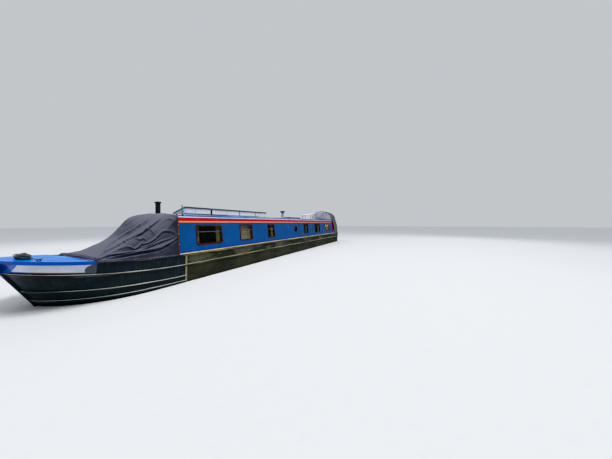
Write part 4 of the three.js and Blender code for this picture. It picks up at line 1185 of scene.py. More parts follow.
@dataclass
class Hull:
    """The steel hull: shell, strakes, gunwales, decks and the bow's paint."""

    post_x: tuple[float, ...] = (5.960, 1.971, -2.244)
    post_wide: float = 0.050
    post_foot: float = 0.520
    # The plating's half beam at each height, in the parallel middle.
    plating: tuple = ((0.0, 0.985), (0.470, 1.000), (0.900, 1.010), (1.220, HALF_BEAM))
    stud_x: float = 8.325
    stud_radius: float = 0.040
    cleat: Pair = (8.330, 0.590)

    def on_strake(self, corners: Sequence[Vector], slack: float = 0.012) -> int:
        """Which strake a face of the shell belongs to.

        Args:
            corners: the face's corners.
            slack: how far a corner may lie past the strake.

        Returns:
            The strake's number, from the gunwale down, or -1.
        """
        for number, strake in enumerate(STRAKES):
            highs = [corner.z - strake_top(strake, corner.x) for corner in corners]
            if max(highs) <= slack and min(highs) >= -strake[1] - slack:
                return number
        return -1

    def side_pick(self, centre: Vector, normal: Vector, corners: list[Vector]) -> int:
        """Finish numbers: 0 blacking, 1 fresh guard, 2 worn guard, 3 gunwale edge, 4 gunwale top."""
        aft = centre.x < WEATHER_X
        if normal.z > 0.8 and centre.z > DECK_Z - 0.01:
            return 4 if aft else 1
        strake = self.on_strake(corners)
        if strake < 0 or normal.y * centre.y < -0.1 * abs(centre.y):
            return 0
        if strake == 0:
            return 3 if aft else 1
        return 2 if aft else 1

    def bow_pick(self, centre: Vector, normal: Vector, corners: list[Vector]) -> int:
        """Finish numbers: 0 bow paint, 1 guard, 2 capping, 3 foredeck, 4 steel, 5 blacking."""
        deck = DECK_Z + SHEER_LIFT * rise(centre.x)
        if math.hypot(centre.x - self.stud_x, centre.y) < self.stud_radius and centre.z > deck + 0.026:
            return 4
        if normal.z > 0.8 and min(corner.z for corner in corners) > deck - 0.05:
            return 3
        strake = self.on_strake(corners)
        if strake == 0:
            return 2
        if strake > 0:
            return 1
        return 5 if max(c.z - strake_top(STRAKES[1], c.x) for c in corners) < -0.01 else 0

    def counter_pick(self, centre: Vector, normal: Vector, corners: list[Vector]) -> int:
        """Finish numbers: 0 blacking, 1 guard, 2 aft deck, 3 steel."""
        if centre.z > DECK_Z + 0.02:
            return 3
        if normal.z > 0.8 and centre.z > DECK_Z - 0.02:
            return 2
        return 1 if self.on_strake(corners) >= 0 and abs(normal.z) < 0.99 else 0

    def posts(self) -> None:
        """The flat vertical bars that are welded down the sides between the strakes."""
        top = DECK_Z - STRAKES[0][1]
        guard, thick = STRAKES[1][:2]
        ring = [(-1, -0.002), (-1, 0.008), (-0.7, 0.011), (0.7, 0.011), (1, 0.008), (1, -0.002)]
        for number, station in enumerate(self.post_x):
            for side, sign in SIDES:
                shape = Shape()
                for high, low in ((top + 0.002, guard - 0.002), (guard - thick + 0.002, self.post_foot)):
                    rows = []
                    for z in (low, high):
                        half = self.shell_half(z)
                        rows.append(
                            [(station + a * self.post_wide / 2, sign * (half + b), z) for a, b in ring]
                        )
                    shape.grid(rows, ring=True, caps=True)
                shape.piece(
                    f"side_bar_{number + 1}_{side}", [BLACKING if number else POST_STEEL], "hull_black"
                )

    def shell_half(self, z: float) -> float:
        """The half beam of the parallel middle's plating at a height."""
        return float(np.interp(z, *zip(*self.plating)))

    def deck_cleat(self) -> None:
        """The small black cleat on the foredeck's port side: two feet and a horned bar."""
        x, y = self.cleat
        deck = fore_deck_z(x, y)
        shape = Shape()
        foot = [(0.0, 0.0), (0.013, 0.0), (0.012, 0.005), (0.008, 0.009), (0.008, 0.022), (0.0, 0.024)]
        for shift in (-0.016, 0.016):
            shape.turned(foot, Matrix.Translation((x + shift, y, deck - 0.002)), steps=20)
        path = [(x + 0.046 * t, y, deck + 0.023 + 0.007 * t * t) for t in (-1, -0.75, -0.4, 0, 0.4, 0.75, 1)]
        shape.tube(path, lambda step, angle: 0.0080 - 0.0005 * abs(step - 3) ** 1.5, 14)
        shape.piece("cleat_port", [FLUE_BLACK], "hull_black", angle=50)

    def build(self) -> None:
        """Dresses the hull's nodes and adds its welded details."""
        for side, _ in SIDES:
            finishes = [BLACKING, FRESH_GUARD, WORN_GUARD, EDGE_GUARD, GUNWALE]
            dress_node("hull_side_" + side, finishes, self.side_pick, angle=28)
        finishes = [BOW, FRESH_GUARD, CAPPING, FOREDECK, BARE_STEEL, FRESH_BLACKING]
        dress_node("fore_end", finishes, self.bow_pick, angle=28)
        dress_node("counter", [BLACKING, WORN_GUARD, AFT_DECK, BARE_STEEL], self.counter_pick, angle=28)
        self.posts()
        self.deck_cleat()
        for name in ("base_plate", "swim"):
            dress_node(name, [DEEP_BLACKING])
        dress_node("well_deck", [WELL_PAINT])
        dress_node("cabin_floor", [FLOOR_WOOD])
        dress_node("rudder", [DEEP_BLACKING])
        dress_node("propeller", [BRONZE], angle=50)
        dress_node("engine", [ENGINE_GREEN])


@dataclass
class Cabin:
    """The cabin: sides, roof, bulkheads, doors and hatch."""

    # Where the sanded top ends, where the handrails' outer faces are, and the foot and top of the edge with
    # painted sky reflection.
    rail_inner_y: float = 0.780
    rail_outer_y: float = 0.820
    edge_y: float = 0.8355
    edge_top_z: float = 2.170
    # Outlines as (radius, height), and the doors' moulding as (inset, height).
    pull: tuple = (
        (0.0, 0.0), (0.016, 0.0), (
            0.016, 0.003
        ), (0.007, 0.006), (0.006, 0.014), (0.013, 0.020), (0.011, 0.026),
        (0.0, 0.028),
    )
    knob: tuple = (
        (0.0, 0.0), (0.017, 0.0), (
            0.017, 0.003
        ), (0.008, 0.006), (0.007, 0.020), (0.016, 0.028), (0.017, 0.036),
        (0.010, 0.043), (0.0, 0.044),
    )
    ogee: tuple = (
        (0.0, 0.0), (
            0.002, 0.006
        ), (0.010, 0.009), (0.018, 0.005), (0.024, 0.001), (0.030, 0.001), (0.052, 0.007),
        (0.056, 0.007),
    )
    # The rose panel, its roses as (share across, share up, radius) and its leaves as (across, up, turn).
    panel_x: Pair = (-6.085, -5.097)
    panel_z: Pair = (1.392, 1.928)
    roses: tuple = ((0.24, 0.70, 0.092), (0.62, 0.70, 0.082), (0.43, 0.33, 0.074))
    leaves: tuple = (
        (0.12, 0.42, 0.6), (0.16, 0.86, 2.4), (0.50, 0.86, 1.5), (0.86, 0.84, 0.8), (0.88, 0.40, -0.5),
        (0.72, 0.26, -0.3), (0.25, 0.22, 3.4), (0.46, 0.56, 1.2), (0.10, 0.62, 3.0), (0.90, 0.60, 0.1),
    )

    def hatch_pull(self) -> None:
        """A brass pull on the hatch's rear edge."""
        low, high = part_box("slide_hatch")
        shape = Shape()
        place = facing((low.x + 0.001, 0.0, (low.z + high.z) / 2), (-1, 0, 0))
        shape.turned(self.pull, place, steps=28)
        shape.piece("hatch_pull", [BRASS], "tiller_brass", "hatch", angle=40)

    def door_joinery(self) -> None:
        """Mouldings and brass knobs on the four door leaves."""
        for end, sign in (("front", 1.0), ("rear", -1.0)):
            for side, hand in SIDES:
                low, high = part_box(f"{end}_door_{side}")
                face = high.x if sign > 0 else low.x
                shape = Shape()
                middle = (low.z + high.z) / 2
                for z0, z1 in ((low.z + 0.07, middle - 0.035), (middle + 0.035, high.z - 0.07)):
                    self.moulding(shape, face, sign, (low.y + 0.06, high.y - 0.06), (z0, z1))
                inner = low.y if hand > 0 else high.y
                place = facing((face - 0.001 * sign, inner + hand * 0.030, middle), (sign, 0, 0))
                shape.turned(self.knob, place, finish=1, steps=28)
                shape.piece(
                    f"{end}_joinery_{side}", [DOOR_WOOD, BRASS], "door_wood", f"{end}_leaf_{side}", angle=25
                )

    def moulding(self, shape: Shape, face: float, sign: float, across: Pair, up: Pair) -> None:
        """Adds a sunk moulding round a panel and the raised field inside it.

        Args:
            shape: what it is added to.
            face: the station of the door's face.
            sign: 1 where the face looks forward, -1 where it looks aft.
            across: the panel's ends, as y.
            up: the panel's ends, as z.
        """
        rows = []
        for inset, out in self.ogee:
            y0, y1 = across[0] + inset, across[1] - inset
            z0, z1 = up[0] + inset, up[1] - inset
            x = face + sign * (out - 0.0005)
            rows.append([(x, y0, z0), (x, y1, z0), (x, y1, z1), (x, y0, z1)])
        shape.grid(rows, ring=True)
        shape.add(rows[-1], [(0, 1, 2, 3)])

    def on_side(self, x: float, z: float, out: float, sign: int) -> Point:
        """A point over the cabin side's outer face."""
        return x, sign * (side_y(z) + out * math.cos(LEAN)), z + out * math.sin(LEAN)

    def petal(
        self,
        shape: Shape,
        centre: Pair,
        turn: float,
        size: Pair,
        out: float,
        sign: float,
        finish: int,
    ) -> None:
        """Adds a brushed stroke: a slightly domed leaf or petal shape on the panel.

        Args:
            shape: what it is added to.
            centre: its middle, as x and z.
            turn: the direction of its length.
            size: half its length and half its width.
            out: how far it stands off the cabin's side.
            sign: 1 to port, -1 to starboard.
            finish: the number of its finish.
        """
        rows = []
        points = 20
        for ring, lift in ((1.0, 0.0), (0.93, 0.0009), (0.6, 0.0016), (0.15, 0.0019)):
            row = []
            for k in range(points):
                a = math.tau * k / points
                u = size[0] * ring * math.cos(a)
                v = size[1] * ring * math.sin(a) * (1 - 0.35 * math.cos(a))
                x = centre[0] - sign * (u * math.cos(turn) - v * math.sin(turn))
                row.append(
                    self.on_side(x, centre[1] + u * math.sin(turn) + v * math.cos(turn), out + lift, sign)
                )
            rows.append(row)
        shape.grid(rows, finish, ring=True)
        shape.add(rows[-1], [tuple(range(points))], finish)

    def ring_of_petals(
        self,
        shape: Shape,
        rose: Point,
        count: int,
        lean: float,
        share: Point,
        out: float,
        sign: float,
        finish: int,
    ) -> None:
        """Adds petals in a ring on a rose.

        Args:
            shape: what they are added to.
            rose: its middle, as x and z, and its radius.
            count: how many petals.
            lean: the direction of the first one.
            share: the ring's radius and half a petal's length and width, as shares of the rose's radius.
            out: how far they stand off the cabin's side.
            sign: 1 to port, -1 to starboard.
            finish: the number of their finish.
        """
        x, z, radius = rose
        for k in range(count):
            a = math.tau * k / count + lean
            spot = (x + radius * share[0] * math.cos(a), z + radius * share[0] * math.sin(a))
            size = (radius * share[1], radius * share[2])
            self.petal(shape, spot, a if sign < 0 else math.pi - a, size, out, sign, finish)

    def rose_panel(self, side: str, sign: float) -> None:
        """The painted panel: a black ground with an orange border, three roses and their leaves.

        Args:
            side: port or starboard.
            sign: 1 to port, -1 to starboard.
        """
        x0, x1 = self.panel_x
        z0, z1 = self.panel_z
        shape = Shape()
        for inset, out, finish in ((0.0, 0.0008, 2), (0.007, 0.0016, 0)):
            rows = []
            for k in range(13):
                z = z0 + inset + (z1 - z0 - 2 * inset) * k / 12
                rows.append([self.on_side(x, z, out, sign) for x in (x0 + inset, x1 - inset)])
            shape.grid(rows, finish)
        for across, up, turn in self.leaves:
            centre = (x1 + (x0 - x1) * across, z0 + (z1 - z0) * up)
            self.petal(shape, centre, turn, (0.058, 0.022), 0.0020, sign, 4)
            self.petal(shape, centre, turn, (0.044, 0.0035), 0.0040, sign, 2)
        for across, up, size in self.roses:
            centre = (x1 + (x0 - x1) * across, z0 + (z1 - z0) * up)
            self.petal(shape, centre, 0.0, (size, size), 0.0024, sign, 1)
            self.ring_of_petals(shape, (*centre, size), 5, 0.3, (0.60, 0.40, 0.27), 0.0042, sign, 3)
            self.ring_of_petals(shape, (*centre, size), 3, 0.9, (0.24, 0.19, 0.13), 0.0062, sign, 2)
        finishes = [ROSE_BACK, ROSE_RED, ROSE_ORANGE, ROSE_WHITE, LEAF_GREEN]
        shape.piece("rose_panel_" + side, finishes, "cabin_blue", angle=60)

    def side_pick(self, centre: Vector, normal: Vector, corners: list[Vector]) -> int:
        """Finish numbers: 0 enamel outside, 1 lining inside."""
        return 0 if normal.y * centre.y > 0 or abs(normal.y) < 0.3 else 1

    def roof_pick(self, centre: Vector, normal: Vector, corners: list[Vector]) -> int:
        """Finish numbers: 0 gloss rails, 1 sanded top, 2 lining, 3 edge with painted sky reflection, 4 outer
        face of the rails with painted sky reflection.
        """
        aside = abs(centre.y)
        if normal.z < -0.5 and centre.z < SIDE_TOP_Z + 0.005:
            return 2
        if normal.z > 0.8 and aside < self.rail_inner_y:
            return 1
        if aside > self.edge_y and centre.z < self.edge_top_z:
            return 3
        return 4 if normal.y * centre.y > 0.5 * aside and aside > self.rail_outer_y else 0

    def build(self) -> None:
        """Dresses the cabin's nodes."""
        for side, _ in SIDES:
            dress_node("cabin_side_" + side, [CABIN_BLUE, LINING], self.side_pick)
            dress_node("front_door_" + side, [DOOR_WOOD])
            dress_node("rear_door_" + side, [DOOR_WOOD])
        dress_node("roof", [NAVY, ROOF_TOP, LINING, ROOF_EDGE_PAINTED_SKY, RAIL_SIDE_PAINTED_SKY], self.roof_pick)
        dress_node("slide_hatch", [ROOF_TOP])
        self.hatch_pull()
        self.door_joinery()
        for side, sign in SIDES:
            self.rose_panel(side, sign)
        # The bulkheads' inner faces are lined.
        dress_node(
            "front_bulkhead", [PLAIN_BLUE, LINING], lambda centre, normal, corners: int(normal.x <= -0.5)
        )
        dress_node(
            "rear_bulkhead", [PLAIN_BLUE, LINING], lambda centre, normal, corners: int(normal.x >= 0.5)
        )


class Drape(Enum):
    """What hangs behind a window."""

    CURTAINS = "curtains"
    BLIND = "blind"
    BARE = "bare"


@dataclass
class Windows:
    """The windows: bronze frames, glass, a sash bar, and what hangs behind them."""

    sash_z: float = 1.728
    drape_z: Pair = (1.335, 1.985)
    drape_gap: float = 0.045
    pleat: float = 0.055
    pleat_depth: float = 0.013
    drapes: tuple[tuple[str, Drape], ...] = (
        ("window_1", Drape.CURTAINS),
        ("window_2", Drape.BLIND),
        ("window_3", Drape.CURTAINS),
        ("window_4", Drape.CURTAINS),
        ("window_5", Drape.CURTAINS),
        ("porthole", Drape.BARE),
    )

    def pane_pick(self, centre: Vector, normal: Vector, corners: list[Vector]) -> int:
        """Finish numbers: 0 frame, 1 glass."""
        out = (abs(centre.y) - side_y(centre.z)) * math.cos(LEAN)
        flat = abs(abs(normal.y) - math.cos(LEAN)) < 0.02
        return 1 if flat and -0.021 < out < -0.011 else 0

    def build(self) -> None:
        """Dresses the window units and hangs the curtains."""
        for name, drape in self.drapes:
            for side, sign in SIDES:
                node = f"{name}_{side}"
                dress_node(node, [FRAME_BRONZE, GLASS], self.pane_pick)
                low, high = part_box(node)
                if name != "porthole":
                    self.sash(node, low.x, high.x, sign)
                if drape is not Drape.BARE:
                    self.hang(node, low.x, high.x, sign, drape)

    def sash(self, node: str, aft: float, fore: float, sign: float) -> None:
        """The bar under the top light: a silver rail, which is a painted highlight, with a bronze lip below
        it.

        Args:
            node: the window.
            aft: its after end.
            fore: its forward end.
            sign: 1 to port, -1 to starboard.
        """
        shape = Shape()
        # The thin silver strip stands on the bronze bar as a painted highlight.
        for low_z, high_z, inner, outer, finish in (
            (-0.016, 0.004, -0.032, 0.003, 1), (0.004, 0.011, -0.020, 0.005, 0)
        ):
            z0, z1 = self.sash_z + low_z, self.sash_z + high_z
            rows = []
            for x in (aft + 0.038, fore - 0.038):
                ring = [(inner, z0), (outer, z0), (outer, z1), (inner, z1)]
                rows.append([(x, sign * (side_y(z) + y), z) for y, z in ring])
            shape.grid(rows, finish, ring=True, caps=True)
        shape.piece("sash_" + node, [SASH_HIGHLIGHT_AND_EYELET_SILVER, FRAME_BRONZE], "window_frame", bevel=0.0015)

    def hang(self, node: str, aft: float, fore: float, sign: float, drape: Drape) -> None:
        """One pair of curtains or one blind, hung inside the window.

        Args:
            node: the window.
            aft: its after end.
            fore: its forward end.
            sign: 1 to port, -1 to starboard.
            drape: which of them it is.
        """
        foot, top = self.drape_z
        curtain = drape is Drape.CURTAINS
        past = 0.05
        wide = fore - aft + 2 * past
        shape = Shape()
        spans = [(aft - past, fore + past)]
        if curtain:
            share = 0.16 if wide > 0.8 else 0.24
            spans = [(aft - past, aft + wide * share), (fore - wide * share, fore + past)]
        for x0, x1 in spans:
            pleats = (x1 - x0) / self.pleat
            columns = int((x1 - x0) / 0.008)
            rows = []
            for k in range(13):
                z = top + (foot - top) * k / 12
                row = []
                for i in range(columns + 1):
                    t = i / columns
                    fold = math.sin(math.tau * pleats * t + 0.4 * k / 12) if curtain else 0.0
                    y = side_y(z) - WALL - self.drape_gap + self.pleat_depth * fold
                    row.append((x0 + (x1 - x0) * t, sign * y, z))
                rows.append(row)
            shape.grid(rows)
        piece = shape.piece(f"{drape.value}_{node}", [CURTAIN if curtain else BLIND], "curtain", angle=80)


@dataclass
class Roof:
    """What stands on the roof: solar panels, flues, box, rack and plank."""

    # White boards under the panels' high edge: front end, rear end, and whether a black angle runs below.
    board_x: tuple = (
        (5.606, 5.256, True), (5.246, 4.690, True), (4.626, 3.990, True), (3.980, 3.356, False),
        (3.326, 2.416, False), (2.386, 1.640, False),
    )
    board_y: float = 0.494
    board_z: Pair = (2.238, 2.386)
    end_outline: tuple = ((0.075, 2.222), (0.494, 2.222), (0.494, 2.374), (0.075, 2.232))
    pin: Pair = (5.895, 0.785)
    pin_outline: tuple = (
        (0.0, -0.004), (0.024, -0.004), (0.024, 0.004), (0.012, 0.010), (0.011, 0.262), (0.015, 0.266),
        (0.015, 0.282), (0.008, 0.290), (0.0, 0.291),
    )
    # The roof's height in the middle, its fall to the edge and its half width.
    camber: Point = (2.205, 0.061, 0.847)
    # A panel's slope, and where its upper face stands: its height at a distance from the middle.
    panel_slope: float = 0.347
    panel_foot: Pair = (0.050, 2.262)
    panel_deep: float = 0.036
    cap_z: float = 2.535

    def boards(self) -> None:
        """The white boards that close the tilted panels towards the port side."""
        y, (foot, top) = self.board_y, self.board_z
        screw = [(0.0, 0.0), (0.007, 0.0), (0.0065, 0.003), (0.0, 0.0045)]
        for number, (fore, aft, angle_iron) in enumerate(self.board_x):
            shape = Shape()
            shape.box((aft, y, foot), (fore, y + 0.006, top))
            # A slim raised lip along the top and two screw heads at each end.
            shape.box((aft + 0.004, y + 0.005, top - 0.016), (fore - 0.004, y + 0.010, top - 0.002))
            if angle_iron:
                shape.box((aft + 0.002, y - 0.004, foot - 0.014), (fore - 0.002, y + 0.010, foot + 0.006), 1)
            for x in (aft + 0.05, fore - 0.05):
                for z in (foot + 0.035, top - 0.035):
                    shape.turned(screw, facing((x, y + 0.005, z), (0, 1, 0)), finish=2, steps=16)
            shape.piece(
                f"panel_board_{number + 1}", [PANEL_WHITE, PANEL_EDGE, BARE_STEEL], "panel_white",
                bevel=0.001,
            )

    def end_board(self) -> None:
        """The white board that closes the front panel's forward end: a triangle under its slope."""
        shape = Shape()
        fore = self.board_x[0][0] + 0.004
        shape.grid(
            [[(x, y, z) for y, z in self.end_outline] for x in (fore, fore + 0.006)], ring=True, caps=True
        )
        shape.piece("panel_end_board", [PANEL_WHITE], "panel_white", bevel=0.001)

    def rail_pin(self) -> None:
        """The short teal pin that stands beside the handrail's front end."""
        x, y = self.pin
        middle, fall, half = self.camber
        shape = Shape()
        shape.turned(self.pin_outline, Matrix.Translation((x, y, middle - fall * (y / half) ** 2)), steps=24)
        shape.piece("rail_pin", [PIN_TEAL], "roof_navy", angle=40)

    def panel_pick(self, centre: Vector, normal: Vector, corners: list[Vector]) -> int:
        """Finish numbers: 0 black edge, 1 cells, 2 white back, 3 legs."""
        inner, foot = self.panel_foot
        top = foot + (abs(centre.y) - inner) * self.panel_slope
        if centre.z < top - self.panel_deep or abs(normal.x) > 0.9:
            return 3
        if abs(normal.z) > 0.9:
            return 1 if normal.z > 0 else 2
        return 0

    def build(self) -> None:
        """Dresses the roof's fittings."""
        for number in range(1, 5):
            dress_node(
                f"solar_panel_{number}", [PANEL_EDGE, CELLS, PANEL_WHITE, BARE_STEEL], self.panel_pick
            )
        self.boards()
        self.end_board()
        self.rail_pin()
        dress_node("front_flue", [FLUE_BLACK])
        dress_node(
            "rear_flue", [FLUE_GREY, FLUE_BLACK], lambda centre, normal, corners: int(centre.z > self.cap_z)
        )
        dress_node("roof_box", [FLUE_BLACK], bevel=0.004)
        dress_node("roof_rack", [RACK_WHITE], bevel=0.002)
        dress_node("gang_plank", [RACK_WHITE], bevel=0.003)


def spline(points: np.ndarray, steps: int) -> np.ndarray:
    """A smooth line through points, with an even number of steps in each stretch.

    Args:
        points: the points, one in each row.
        steps: the steps in a stretch.

    Returns:
        The line's points.
    """
    first, last = 2 * points[0] - points[1], 2 * points[-1] - points[-2]
    knots = np.vstack([first, points, last])
    out = []
    for k in range(1, len(knots) - 2):
        p0, p1, p2, p3 = knots[k - 1 : k + 3]
        d1 = np.linalg.norm(p2 - p1)
        d0 = max(np.linalg.norm(p1 - p0), 1e-6)
        d2 = max(np.linalg.norm(p3 - p2), 1e-6)
        m1 = (p2 - p0) / (d0 + d1) * d1
        m2 = (p3 - p1) / (d1 + d2) * d1
        for i in range(steps):
            t = i / steps
            t2, t3 = t * t, t * t * t
            out.append(
                (2 * t3 - 3 * t2 + 1) * p1 + (t3 - 2 * t2 + t) * m1 + (3 * t2 - 2 * t3) * p2 + (t3 - t2) * m2
            )
    out.append(points[-1])
    return np.array(out)


class FoldKind(Enum):
    """How a fold stands in the cloth."""

    CREST = "rounded crest"
    TUCK = "crest with a groove under it"
    GROOVE = "groove"


CREST, TUCK, GROOVE = FoldKind


@dataclass(frozen=True)
class Fold:
    """A fold that runs through (station, place across) points: its kind, half width and height."""

    line: tuple[Pair, ...]
    wide: float
    high: float
    kind: FoldKind = TUCK


@dataclass
class ClothShell:
    """A cloth cover stretched over a frame: a fine grid from rows of half sections, with its folds."""

    rows: tuple = ()
    starboard_rows: tuple = ()
    folds: tuple[Fold, ...] = ()
    along: int = 12
    across: tuple[int, ...] = ()
    thick: float = 0.003
    crowns: tuple[float, ...] = ()
    round_off: int = 2
    wrinkle: float = 0.004
    wrinkle_size: Point = (0.35, 0.12, 0.16)
    # How wide and high the starboard half's folds are, as shares of the port half's.
    other: Pair = (1.15, 0.45)

    def rails(self, sections: Sequence[tuple]) -> list[np.ndarray]:
        """The long lines of a half, from the middle down to the hem."""
        count = len(sections[0]) - 1
        lines = [[(row[0], *row[1 + k]) for row in sections] for k in range(count)]
        return [spline(np.array(line), self.along) for line in lines]

    def half(self, sections: Sequence[tuple]) -> np.ndarray:
        """A half's points: stations by places across, from the middle down to the hem.

        Args:
            sections: the rows that it is stretched over.

        Returns:
            The points.
        """
        rails = self.rails(sections)
        rows = []
        for station in range(len(rails[0])):
            line = []
            for k, count in enumerate(self.across):
                a, b = rails[k][station], rails[k + 1][station]
                out = np.array([0, b[2] - a[2], a[1] - b[1]])
                out = -out / max(np.linalg.norm(out), 1e-6)
                for i in range(count):
                    t = i / count
                    line.append(a + (b - a) * t + out * self.crowns[k] * math.sin(math.pi * t))
            line.append(rails[-1][station])
            rows.append(line)
        grid = np.array(rows)
        for _ in range(self.round_off):
            grid[:, 1:-1] = 0.5 * grid[:, 1:-1] + 0.25 * (grid[:, :-2] + grid[:, 2:])
        return grid

    def place(self, grid: np.ndarray, station: float, across: float) -> np.ndarray:
        """Where a (station, place across) point lies on the grid.

        Args:
            grid: a half's points.
            station: its x in the middle.
            across: its place between the long lines, counted from the middle.

        Returns:
            The point.
        """
        row = min(range(len(grid)), key=lambda k: abs(grid[k, 0, 0] - station))
        k = min(int(across), len(self.across) - 1)
        column = sum(self.across[:k]) + (across - k) * self.across[k]
        return grid[row, min(int(round(column)), grid.shape[1] - 1)]

    def outward(self, grid: np.ndarray) -> np.ndarray:
        """The unit normals of a grid, pointing out of the cover."""
        normal = np.cross(np.gradient(grid, axis=0), np.gradient(grid, axis=1))
        normal /= np.maximum(np.linalg.norm(normal, axis=2, keepdims=True), 1e-9)
        return normal if normal[len(grid) // 2, 2, 2] > 0 else -normal

    def folded(self, grid: np.ndarray, folds: Sequence[Fold], seed: int) -> np.ndarray:
        """Raises the folds and the finer wrinkles.

        Args:
            grid: the smooth half.
            folds: the folds that it gets.
            seed: the number that its wrinkles start from.

        Returns:
            The folded half.
        """
        normal = self.outward(grid)
        lift = np.zeros(grid.shape[:2])
        for fold in folds:
            line = spline(np.array([self.place(grid, *p) for p in fold.line]), 6)
            near = np.full(lift.shape, 9.0)
            share = np.zeros(lift.shape)
            side = np.zeros(lift.shape)
            for i, (a, b) in enumerate(zip(line[:-1], line[1:])):
                step = b - a
                t = np.clip(((grid - a) @ step) / max(step @ step, 1e-9), 0, 1)
                gap = grid - (a + t[..., None] * step)
                far = np.linalg.norm(gap, axis=2)
                below = np.einsum("ijk,ijk->ij", np.cross(step, gap), normal)
                closer = far < near
                near = np.where(closer, far, near)
                share = np.where(closer, (i + t) / (len(line) - 1), share)
                side = np.where(closer, np.sign(below), side)
            fade = np.sin(np.pi * np.clip(share, 0.03, 0.97)) ** 0.5
            # The groove lies on the lower side, whichever way the fold's line runs.
            under = near * side / fold.wide * (1 if line[-1][0] > line[0][0] else -1)
            # A crease comes to an edge, and the cloth falls in sharply under it.
            crest = np.maximum(0.0, 1 - near / (2.1 * fold.wide)) ** 1.7
            groove = np.maximum(0.0, 1 - np.abs(under - 1.3) / 1.2) ** 1.4
            shape = {CREST: crest, GROOVE: -crest, TUCK: crest - 0.9 * groove}[fold.kind]
            lift += fold.high * fade * shape
        for i in range(grid.shape[0]):
            for j in range(grid.shape[1]):
                x, y, z = grid[i, j]
                spot = Vector(
                    (x / self.wrinkle_size[0], y / self.wrinkle_size[1], z / self.wrinkle_size[2] + seed)
                )
                lift[i, j] += self.wrinkle * noise.fractal(spot, 0.8, 2.1, 4)
        return grid + normal * lift[..., None]

    def whole(self) -> tuple[np.ndarray, np.ndarray]:
        """Both halves, folded, the starboard one with folds of other sizes.

        Returns:
            The port half and the starboard half, joined along the middle.
        """
        port = self.folded(self.half(self.rows), self.folds, 0)
        other = [Fold(f.line, f.wide * self.other[0], f.high * self.other[1], f.kind) for f in self.folds]
        starboard = self.folded(self.half(self.starboard_rows or self.rows), other, 7)
        middle = (port[:, 0] + starboard[:, 0]) / 2
        middle[:, 1] = 0
        for grid in (port, starboard):
            for j in range(4):
                grid[:, j] += (middle - grid[:, 0]) * (1 - j / 4)
        starboard = starboard * np.array([1, -1, 1])
        return port, starboard

    def strip(
        self, shape: Shape, line: np.ndarray, down: Point, out: np.ndarray, high: float, proud: float
    ) -> None:
        """Adds a band of webbing along a line.

        Args:
            shape: what it is added to.
            line: the band's upper edge.
            down: the unit direction of its width.
            out: the unit direction away from the cloth, one for all or one for each point.
            high: its width.
            proud: its thickness.
        """
        down = np.array(down)
        section = (
            (0.0, -0.001), (0.0, proud * 0.8), (0.12, proud), (0.88, proud), (1.0, proud * 0.8),
            (1.0, -0.001),
        )
        rows = []
        for p, o in zip(line, np.broadcast_to(out, np.shape(line))):
            rows.append([tuple(p + down * high * share + o * lift) for share, lift in section])
        shape.grid(rows, ring=True, caps=True)

    def stays(self, centre: np.ndarray) -> bool:
        """Whether a face of the cloth stays, from its middle."""
        return True

    def sew(self, name: str, grids: Sequence[np.ndarray], finish: Finish, slot: str) -> Piece:
        """Makes the cloth's object from its halves.

        Args:
            name: the piece's name.
            grids: the halves.
            finish: the cloth's finish.
            slot: the record's material slot.

        Returns:
            The object.
        """
        shape = Shape()
        for grid in grids:
            rows, columns = grid.shape[:2]
            points = [tuple(p) for p in grid.reshape(-1, 3)]
            faces = []
            for k in range(rows - 1):
                for i in range(columns - 1):
                    centre = (grid[k, i] + grid[k, i + 1] + grid[k + 1, i + 1] + grid[k + 1, i]) / 4
                    if self.stays(centre):
                        base = k * columns + i
                        faces.append((base, base + 1, base + columns + 1, base + columns))
            shape.add(points, faces)
        piece = shape.piece(name, [finish], slot, angle=80)
        work = bmesh.new()
        work.from_mesh(piece.data)
        loose = [v for v in work.verts if not v.link_faces]
        bmesh.ops.delete(work, geom=loose, context="VERTS")
        work.to_mesh(piece.data)
        work.free()
        solid = piece.modifiers.new("cloth_thickness", "SOLIDIFY")
        solid.thickness = self.thick
        solid.offset = 0.0
        return piece


